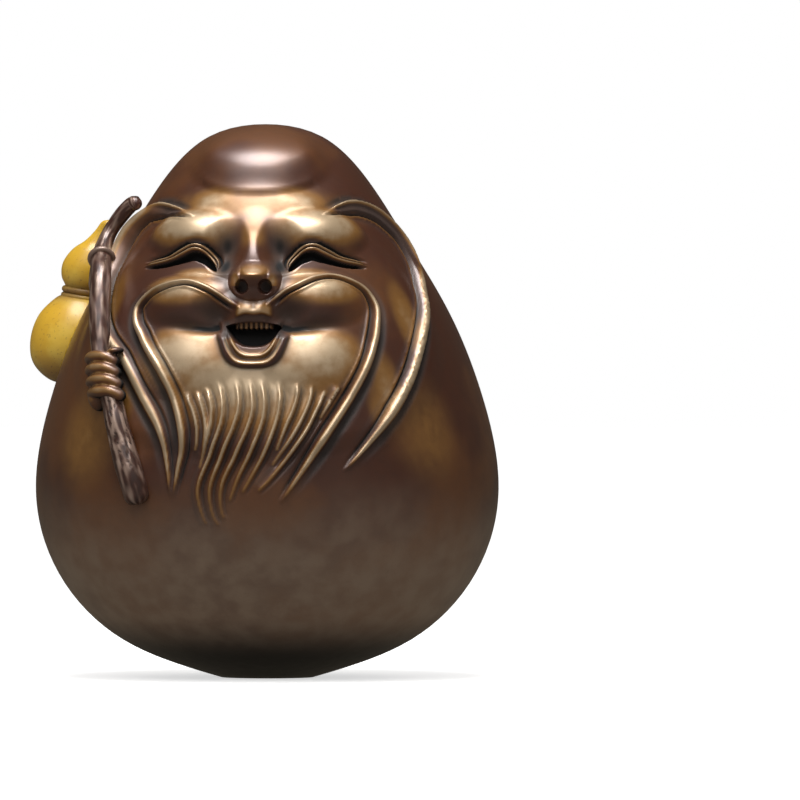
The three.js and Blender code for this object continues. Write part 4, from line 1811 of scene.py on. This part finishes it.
@dataclass(frozen=True)
class Staff:
    """The knotty staff, with grain along it and cracks in its lower part."""

    egg: Egg
    line: Points = (
        (-64, 125.0, 3.8), (-67, 126.2, 4.6), (-70.7, 123.2, 5.2), (-72.7, 118.5, 5.4),
        (-68.1, 113.1, 5.4), (-61, 109.1, 5.2), (-55.4, 105.1, 4.8), (-48.6, 95.2, 3.8),
        (-42.6, 83.8, 3.0), (-36.2, 73.5, 2.6), (-32.9, 64.6, 2.2), (-29.2, 54.2, 1.6),
        (-27.6, 47.8, 0.9),
    )
    girths: Points = (
        (0, 1.9), (0.06, 2.2), (0.14, 1.9), (0.24, 2.8), (0.4, 2.9),
        (0.5, 2.7), (0.6, 2.4), (0.75, 3.0), (0.9, 3.6), (1, 3.4),
    )
    girth_blend: Sequence[float] = (-0.03, -0.015, 0.0, 0.015, 0.03)
    end_radius: float = 2.6
    grain_girth: float = 2.2
    grain_stretch: float = 0.16
    streak_fineness: float = 1.5
    streak_rise: float = 0.05
    wave_fineness: float = 0.55
    wave_offset: float = 7.0
    wave_rise: float = 0.06
    cracked: tuple[Span, Span] = ((0.6, 0.72), (0.86, 0.96))
    crack_width: float = 0.16
    crack_depth: float = 0.35
    columns: int = 64
    rows: int = 260

    def girth(self, share: Array) -> Array:
        """Return the staff's radius along its length."""
        soft = [table(self.girths, share + step) for step in self.girth_blend]
        return np.mean(soft, axis=0)

    def build(self) -> bpy.types.Object:
        """Model the staff as a rolled grid along its line.

        Returns:
            The piece.
        """
        line = SkinLine(self.egg, self.line)
        masks: dict[Mask, Array] = {}

        def place(around: Array, along: Array) -> Array:
            """Place the bark and fill in its masks.

            Args:
                around: Shares of a turn.
                along: Shares of the length.

            Returns:
                The places.
            """
            sin, cos = np.sin(2 * math.pi * around), np.cos(2 * math.pi * around)
            far = along * line.length * self.grain_stretch
            twist = np.stack([cos * self.grain_girth, sin * self.grain_girth, far], -1)
            streak = hammered(twist * self.streak_fineness)
            wave = hammered(twist * self.wave_fineness + self.wave_offset)
            lower = window(along, *self.cracked)
            crack = lower * bell(np.abs(streak) + 0.25 * np.abs(wave), self.crack_width)
            grain = self.streak_rise * streak + self.wave_rise * wave - self.crack_depth * crack
            # painted light: the side of the staff that faces the light is painted paler
            lit = smoothstep(sin - 0.5 * cos, -0.1, 0.9)
            pale = lerp(0.15 + 0.5 * streak, 0.5 + 0.9 * streak + 0.3 * wave, lower)
            masks[Mask.WORN_AND_HIGHLIGHT] = np.clip(lit * pale, 0, 1) * (1 - crack)
            masks[Mask.GRIME_AND_SHADE] = np.clip(crack + 0.3 * (streak < -0.5), 0, 1)
            girth = (self.girth(along) + grain) * round_ends(along, line.length, self.end_radius)
            return line.round_about(around, along, girth, girth)

        return roll("staff", self.columns, self.rows, place, masks)

    def dress(self, piece: bpy.types.Object) -> None:
        """Give the staff its finish."""
        declare(piece, Bark().material())


@dataclass(frozen=True)
class Lump:
    """An egg-shaped lump set on the skin: its place, its lift and its three radii."""

    turn: float
    height: float
    lift: float
    radii: Sequence[float]
    sides: tuple[int, int] = (32, 24)

    def build(self, name: str, egg: Egg) -> bpy.types.Object:
        """Model the lump.

        Args:
            name: The piece's name.
            egg: The egg that carries it.

        Returns:
            The piece.
        """
        spot = egg.skin(self.turn, self.height, self.lift)[0]
        sin_turn, cos_turn = math.sin(math.radians(self.turn)), math.cos(math.radians(self.turn))

        def place(around: Array, along: Array) -> Array:
            """Place the lump's skin.

            Args:
                around: Shares of a turn.
                along: Shares of the length.

            Returns:
                The places.
            """
            angle, tilt = 2 * math.pi * around, math.pi * along
            ball = (np.sin(tilt) * np.cos(angle), np.sin(tilt) * np.sin(angle), -np.cos(tilt))
            x, y, z = (axis * radius for axis, radius in zip(ball, self.radii))
            return np.stack([x * cos_turn - y * sin_turn, x * sin_turn + y * cos_turn, z], -1) + spot

        return roll(name, *self.sides, place)


@dataclass(frozen=True)
class Hand:
    """The hand on the staff: four fingers across it, a heel under them and a thumb tip above."""

    egg: Egg
    fingers: int = 4
    half_width: float = 1.6
    rise: float = 2.1
    sink: float = 3.2
    end_radius: float = 2.2
    lobe_rise: float = 0.06
    pitch: float = 3.0
    knuckle_turn: float = -43.4
    knuckle_height: float = 85.4
    half_turn: float = 6.0
    shift: float = 1.5
    profile: Points = ((-1, 1.2, -0.3), (-0.55, 3.7, 0.0), (0, 4.9, 0.1), (0.5, 4.7, 0.1), (1, 2.0, -1.0))
    heel: Lump = Lump(-42.8, 76.0, 1.2, (3.0, 3.4, 4.0))
    thumb: Lump = Lump(-38.6, 87.6, 3.4, (1.9, 2.4, 0.9))
    finger_sides: tuple[int, int] = (32, 48)
    voxel: float = 0.3
    smooth_rounds: int = 3

    def finger(self, index: int) -> bpy.types.Object:
        """Model one bowed finger with two soft lobes.

        Args:
            index: 0 for the uppermost.

        Returns:
            The piece.
        """
        middle = self.knuckle_turn + index * self.shift
        height = self.knuckle_height - index * self.pitch
        line = SkinLine(
            self.egg,
            [(middle + across * self.half_turn, height + up, lift) for across, lift, up in self.profile],
        )

        def place(around: Array, along: Array) -> Array:
            """Place the finger's skin.

            Args:
                around: Shares of a turn.
                along: Shares of the length.

            Returns:
                The places.
            """
            lobes = 1 + self.lobe_rise * np.cos(4 * math.pi * (along - 0.5))
            girth = lobes * round_ends(along, line.length, self.end_radius)
            depth = np.where(np.sin(2 * math.pi * around) > 0, self.rise, self.sink)
            return line.round_about(around, along, self.half_width * girth, depth * girth)

        return roll(f"finger_{index}", *self.finger_sides, place)

    def build(self) -> bpy.types.Object:
        """Model the hand as one: its lumps joined, remeshed and smoothed.

        Returns:
            The piece.
        """
        parts = [self.finger(index) for index in range(self.fingers)]
        parts += [self.heel.build("heel", self.egg), self.thumb.build("thumb", self.egg)]
        piece = join(parts, "hand")
        remesh = piece.modifiers.new("one skin", "REMESH")
        remesh.mode = "VOXEL"
        remesh.voxel_size = self.voxel * MM
        smooth = piece.modifiers.new("soft", "SMOOTH")
        smooth.factor = 0.5
        smooth.iterations = self.smooth_rounds
        for modifier in ("one skin", "soft"):
            bpy.ops.object.modifier_apply(modifier=modifier)
        weld(piece, 0.001)
        return piece

    def dress(self, piece: bpy.types.Object) -> None:
        """Give the hand its finish, with rubbing wear on top and painted shade between and under the
        fingers.

        Args:
            piece: The hand.
        """
        places = vertex_places(piece) / MM
        normals = vectors(piece.data.vertices, "normal")
        turn = np.degrees(np.arctan2(places[:, 0], -places[:, 1]))
        spot, out = self.egg.skin(turn, places[:, 2])
        facing = np.einsum("ij,ij->i", normals, out)
        proud = np.einsum("ij,ij->i", places - spot, out)
        worn = 0.6 * smoothstep(facing, 0.6, 1.0) * smoothstep(proud, 3.0, 5.0)
        # painted shade where the hand faces away from the outside
        store_masks(piece, {Mask.WORN_AND_HIGHLIGHT: worn, Mask.GRIME_AND_SHADE: fade(facing, 0.0, 0.75)})
        declare(piece, Patina().material())


@dataclass(frozen=True)
class Cord:
    """The cast cord: a ring about the staff and a drop to the gourd's waist."""

    egg: Egg
    staff: Staff
    ring_share: float = 0.235
    ring_radius: float = 3.0
    thick: float = 0.8
    drop: Points = (
        (-64, 109.0, 6.5), (-66.5, 106.9, 4.8), (-62.5, 104.6, 4.4), (-58.5, 102.4, 4), (-58, 100, 3),
    )
    drop_radius: float = 0.95
    ring_sides: tuple[int, int] = (72, 16)
    drop_sides: tuple[int, int] = (20, 40)
    worn: float = 0.5

    def build(self) -> bpy.types.Object:
        """Model the ring as a torus and the drop as a bent rod, joined.

        Returns:
            The piece.
        """
        middle, side, out = SkinLine(self.egg, self.staff.line).at(np.array([self.ring_share]))
        axis = Vector(np.cross(side[0], out[0]))
        upright = np.array(axis.to_track_quat("Z", "Y").to_matrix())
        ring = torus("ring", self.ring_sides, self.ring_radius, self.thick)
        place_vertices(ring, vertex_places(ring) @ upright.T + middle[0])
        fall = SkinLine(self.egg, self.drop)

        def place(around: Array, along: Array) -> Array:
            """Place the drop's skin.

            Args:
                around: Shares of a turn.
                along: Shares of the length.

            Returns:
                The places.
            """
            girth = self.drop_radius * round_ends(along, fall.length, self.thick)
            return fall.round_about(around, along, girth, girth)

        piece = join((ring, roll("drop", *self.drop_sides, place)), "cord")
        bpy.ops.object.shade_smooth()
        return piece

    def dress(self, piece: bpy.types.Object) -> None:
        """Give the cord the staff's finish.

        Args:
            piece: The cord.
        """
        none = np.zeros(len(piece.data.vertices))
        store_masks(piece, {Mask.WORN_AND_HIGHLIGHT: none + self.worn, Mask.GRIME_AND_SHADE: none})
        declare(piece, Bark().material())


@dataclass(frozen=True)
class Gourd:
    """The bottle gourd, with a cord of two bands about its waist, seated on the shoulder."""

    egg: Egg
    base_turn: float = -105.5
    base_height: float = 79.2
    base_out: float = 4.7
    lean: float = 9.0
    bend: float = 0.02
    bend_from: float = 31.0
    outline: Points = (
        (0, 0), (6, 0.7), (11, 4.6), (12.6, 10.5), (11.4, 17.5), (7.4, 23), (4.9, 25), (5.3, 26.6),
        (6.7, 29), (7, 32.6), (5.4, 36.8), (3, 39.6), (1.9, 42.4), (1.5, 45), (0, 45.6),
    )
    waist_height: float = 25.0
    waist_radius: float = 5.3
    band: float = 0.9
    band_pitch: float = 1.7
    seat_gap: float = 0.3
    waist_darkening: Stroke = Stroke(25.5, 2.6)
    base_darkening: Span = (2.0, 12.0)
    columns: int = 96
    rows: int = 150

    def stand(self, places: Array) -> Array:
        """Lean the gourd in to the figure and set it beside the shoulder.

        Args:
            places: Places about its own axis, Z.

        Returns:
            The places in the figure's frame.
        """
        share = self.egg.share_of(np.array(self.base_height + self.waist_height / 2))
        beside = self.egg.skin_at_share(np.array(self.base_turn), share, self.base_out)[0].copy()
        beside[2] = self.base_height
        inward = -beside / np.hypot(beside[0], beside[1])
        inward[2] = 0.0
        angle = math.radians(self.lean)
        reach, height = places @ inward, places[:, 2]
        flat = places - np.outer(reach, inward) - np.outer(height, (0, 0, 1))
        forward = reach * math.cos(angle) + height * math.sin(angle)
        forward = forward + self.bend * np.maximum(height - self.bend_from, 0.0) ** 2
        up = height * math.cos(angle) - reach * math.sin(angle)
        return flat + np.outer(forward, inward) + np.outer(up, (0, 0, 1)) + beside

    def build(self) -> bpy.types.Object:
        """Model the bulbs and the bands, joined, and press them to the shoulder.

        Returns:
            The piece.
        """
        profile = spline(self.outline, 600)
        steps = np.concatenate([[0], np.cumsum(np.linalg.norm(np.diff(profile, axis=0), axis=1))])

        def place(around: Array, along: Array) -> Array:
            """Place the gourd's skin.

            Args:
                around: Shares of a turn.
                along: Shares of the length.

            Returns:
                The places.
            """
            radius = np.interp(along * steps[-1], steps, np.maximum(profile[:, 0], 0))
            height = np.interp(along * steps[-1], steps, profile[:, 1])
            angle = 2 * math.pi * around
            return self.stand(np.stack([radius * np.cos(angle), radius * np.sin(angle), height], -1))

        parts = [roll("bulbs", self.columns, self.rows, place)]
        for side in (-0.5, 0.5):
            band = torus("band", (self.columns, 14), self.waist_radius, self.band)
            up = self.waist_height + side * self.band_pitch
            place_vertices(band, self.stand(vertex_places(band) + (0, 0, up)))
            parts.append(band)
        piece = join(parts, "bottle_gourd")
        self.press(piece)
        bpy.ops.object.shade_smooth()
        return piece

    def press(self, piece: bpy.types.Object) -> None:
        """Push what would lie inside the shoulder out to its skin.

        Args:
            piece: The gourd.
        """
        places = vertex_places(piece) / MM
        across, deep, height = places.T
        turn = np.degrees(np.arctan2(across, -(deep + self.egg.lean(height)) / self.egg.depth_share))
        skin, out = self.egg.skin(turn, height)
        gap = np.einsum("ij,ij->i", places - skin, out)
        place_vertices(piece, places + out * np.maximum(0.0, self.seat_gap - gap)[:, None])

    def dress(self, piece: bpy.types.Object) -> None:
        """Give the gourd its finish, darker brown at the waist and towards the base.

        Args:
            piece: The gourd.
        """
        above = vertex_places(piece)[:, 2] / MM - self.base_height
        grime = self.waist_darkening.soft(above) + 0.9 * fade(above, *self.base_darkening)
        store_masks(piece, {Mask.GRIME_AND_SHADE: np.clip(grime, 0, 1)})
        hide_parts("gourd")
        declare(piece, MustardPaint().material())


def direction(azimuth: float, elevation: float) -> Vector:
    """Return the way from the figure to a place, in degrees from the front and above level."""
    turn, tilt = math.radians(azimuth), math.radians(elevation)
    return Vector((math.sin(turn) * math.cos(tilt), -math.cos(turn) * math.cos(tilt), math.sin(tilt)))


@dataclass(frozen=True)
class Softbox:
    """A round soft light that faces the head, in degrees, millimetres and watts."""

    azimuth: float
    elevation: float
    distance: float
    width: float
    depth: float
    power: float
    head: Sequence[float] = (0.0, -40.0, 100.0)

    def hang(self) -> None:
        """Hang the light."""
        away = direction(self.azimuth, self.elevation)
        data = bpy.data.lights.new("softbox", "AREA")
        data.shape = "ELLIPSE"
        data.size = self.width * MM
        data.size_y = self.depth * MM
        data.energy = self.power
        light = bpy.data.objects.new("softbox", data)
        light.location = (away * self.distance + Vector(self.head)) * MM
        light.rotation_euler = away.to_track_quat("Z", "Y").to_euler()
        bpy.context.collection.objects.link(light)


@dataclass(frozen=True)
class Studio:
    """The floor, the soft light and the camera at the photograph's viewing angle."""

    azimuth: float = 4.5
    elevation: float = 0.5
    distance: float = 3000.0
    aim_aside: float = 36.03
    aim_up: float = 75.2
    field_width: float = 217.2
    sensor: float = 36.0
    view_end: float = 100000.0
    floor_size: float = 12000.0
    floor_glow: float = 0.6
    floor_clouds: Span = (40.0, 3.0)
    floor_pale: Color = (0.94, 0.94, 0.93, 1.0)
    floor_dull: Color = (0.88, 0.88, 0.87, 1.0)
    white: Color = (1.0, 1.0, 1.0, 1.0)
    lighting_sky: Points = ((0.0, 0.45), (0.40, 0.60), (0.55, 0.66), (1.0, 0.60))
    mirrored_sky: Points = ((0.0, 0.05), (0.35, 0.12), (0.50, 0.07), (0.65, 0.04), (1.0, 0.08))
    mirrored_tint: Color = (1.0, 0.86, 0.66, 1.0)
    lights: Sequence[Softbox] = (
        Softbox(-8, 80, 700, 440, 340, 5.2),
        Softbox(-5, 47, 1100, 1300, 600, 3.0),
    )

    def place_camera(self) -> None:
        """Set the camera at the photograph's angle, with its picture's middle on the aim."""
        back = direction(self.azimuth, self.elevation)
        right = direction(self.azimuth + 90, 0)
        aim = right * self.aim_aside + back.cross(right) * self.aim_up
        data = bpy.data.cameras.new("camera")
        data.sensor_width = self.sensor
        data.lens = self.sensor * self.distance / self.field_width
        data.clip_end = self.view_end * MM
        camera = bpy.data.objects.new("camera", data)
        camera.location = (aim + back * self.distance) * MM
        camera.rotation_euler = back.to_track_quat("Z", "Y").to_euler()
        bpy.context.collection.objects.link(camera)
        bpy.context.scene.camera = camera

    def build(self) -> None:
        """Lay the floor and hang the lights."""
        self.lay_floor()
        self.light_sky()
        for light in self.lights:
            light.hang()
        bpy.context.scene.view_settings.view_transform = "Standard"
        bpy.context.scene.view_settings.look = "None"

    def lay_floor(self) -> None:
        """Lay a pale floor that only the camera sees."""
        choose()
        bpy.ops.mesh.primitive_plane_add(size=self.floor_size * MM, location=(0, 0, 0))
        floor = bpy.context.active_object
        floor.name = "floor"
        shader = Shader(bpy.data.materials.new("pale floor"))
        tint = shader.mix(shader.noise(*self.floor_clouds) * 0.1, self.floor_pale, self.floor_dull)
        glow = {"Emission Color": self.white, "Emission Strength": self.floor_glow}
        floor.data.materials.append(shader.finish({"Base Color": tint, "Roughness": 0.6, **glow}))
        floor.visible_glossy = False
        floor.visible_diffuse = False

    def sky(self, shader: Shader, stops: Points, tint: Color) -> bpy.types.NodeSocket:
        """Make a sky of plain rings from straight below, at 0, to straight above, at 1.

        Args:
            shader: The world's shader.
            stops: Heights as shares and how bright the sky is there.
            tint: The sky's colour.

        Returns:
            The sky's output.
        """
        brightest = max(gray for _, gray in stops)
        split = shader.node("ShaderNodeSeparateXYZ", inputs={0: shader.direction})
        climb = shader.value(split.outputs["Z"]) * 0.5 + 0.5
        colors = [(share, (*[gray / brightest * part for part in tint[:3]], 1.0)) for share, gray in stops]
        ramp = shader.node("ShaderNodeValToRGB", {"stops": colors}, {0: climb})
        inputs = {"Color": ramp.outputs[0], "Strength": brightest}
        return shader.node("ShaderNodeBackground", inputs=inputs).outputs[0]

    def light_sky(self) -> None:
        """Make the backdrop white, over a soft sky that lights and a darker one that is mirrored."""
        world = bpy.data.worlds.new("studio")
        shader = Shader(world)
        rays = shader.node("ShaderNodeLightPath").outputs
        backdrop = shader.node("ShaderNodeBackground", inputs={"Color": self.white}).outputs[0]
        chosen = self.sky(shader, self.lighting_sky, self.white)
        mirrored_sky = self.sky(shader, self.mirrored_sky, self.mirrored_tint)
        for ray, seen in (("Is Glossy Ray", mirrored_sky), ("Is Camera Ray", backdrop)):
            chosen = shader.node("ShaderNodeMixShader", inputs={0: rays[ray], 1: chosen, 2: seen}).outputs[0]
        shader.node("ShaderNodeOutputWorld", inputs={"Surface": chosen})
        bpy.context.scene.world = world


def main() -> None:
    """Build the figure, piece by piece, in its studio."""
    logging.basicConfig(level=logging.INFO, format="%(message)s")
    studio = Studio()
    studio.place_camera()
    egg = Egg()
    staff = Staff(egg)
    for part in (Casting(egg), staff, Hand(egg), Cord(egg, staff), Gourd(egg)):
        part.dress(part.build())
    studio.build()


if __name__ == "__main__":
    main()
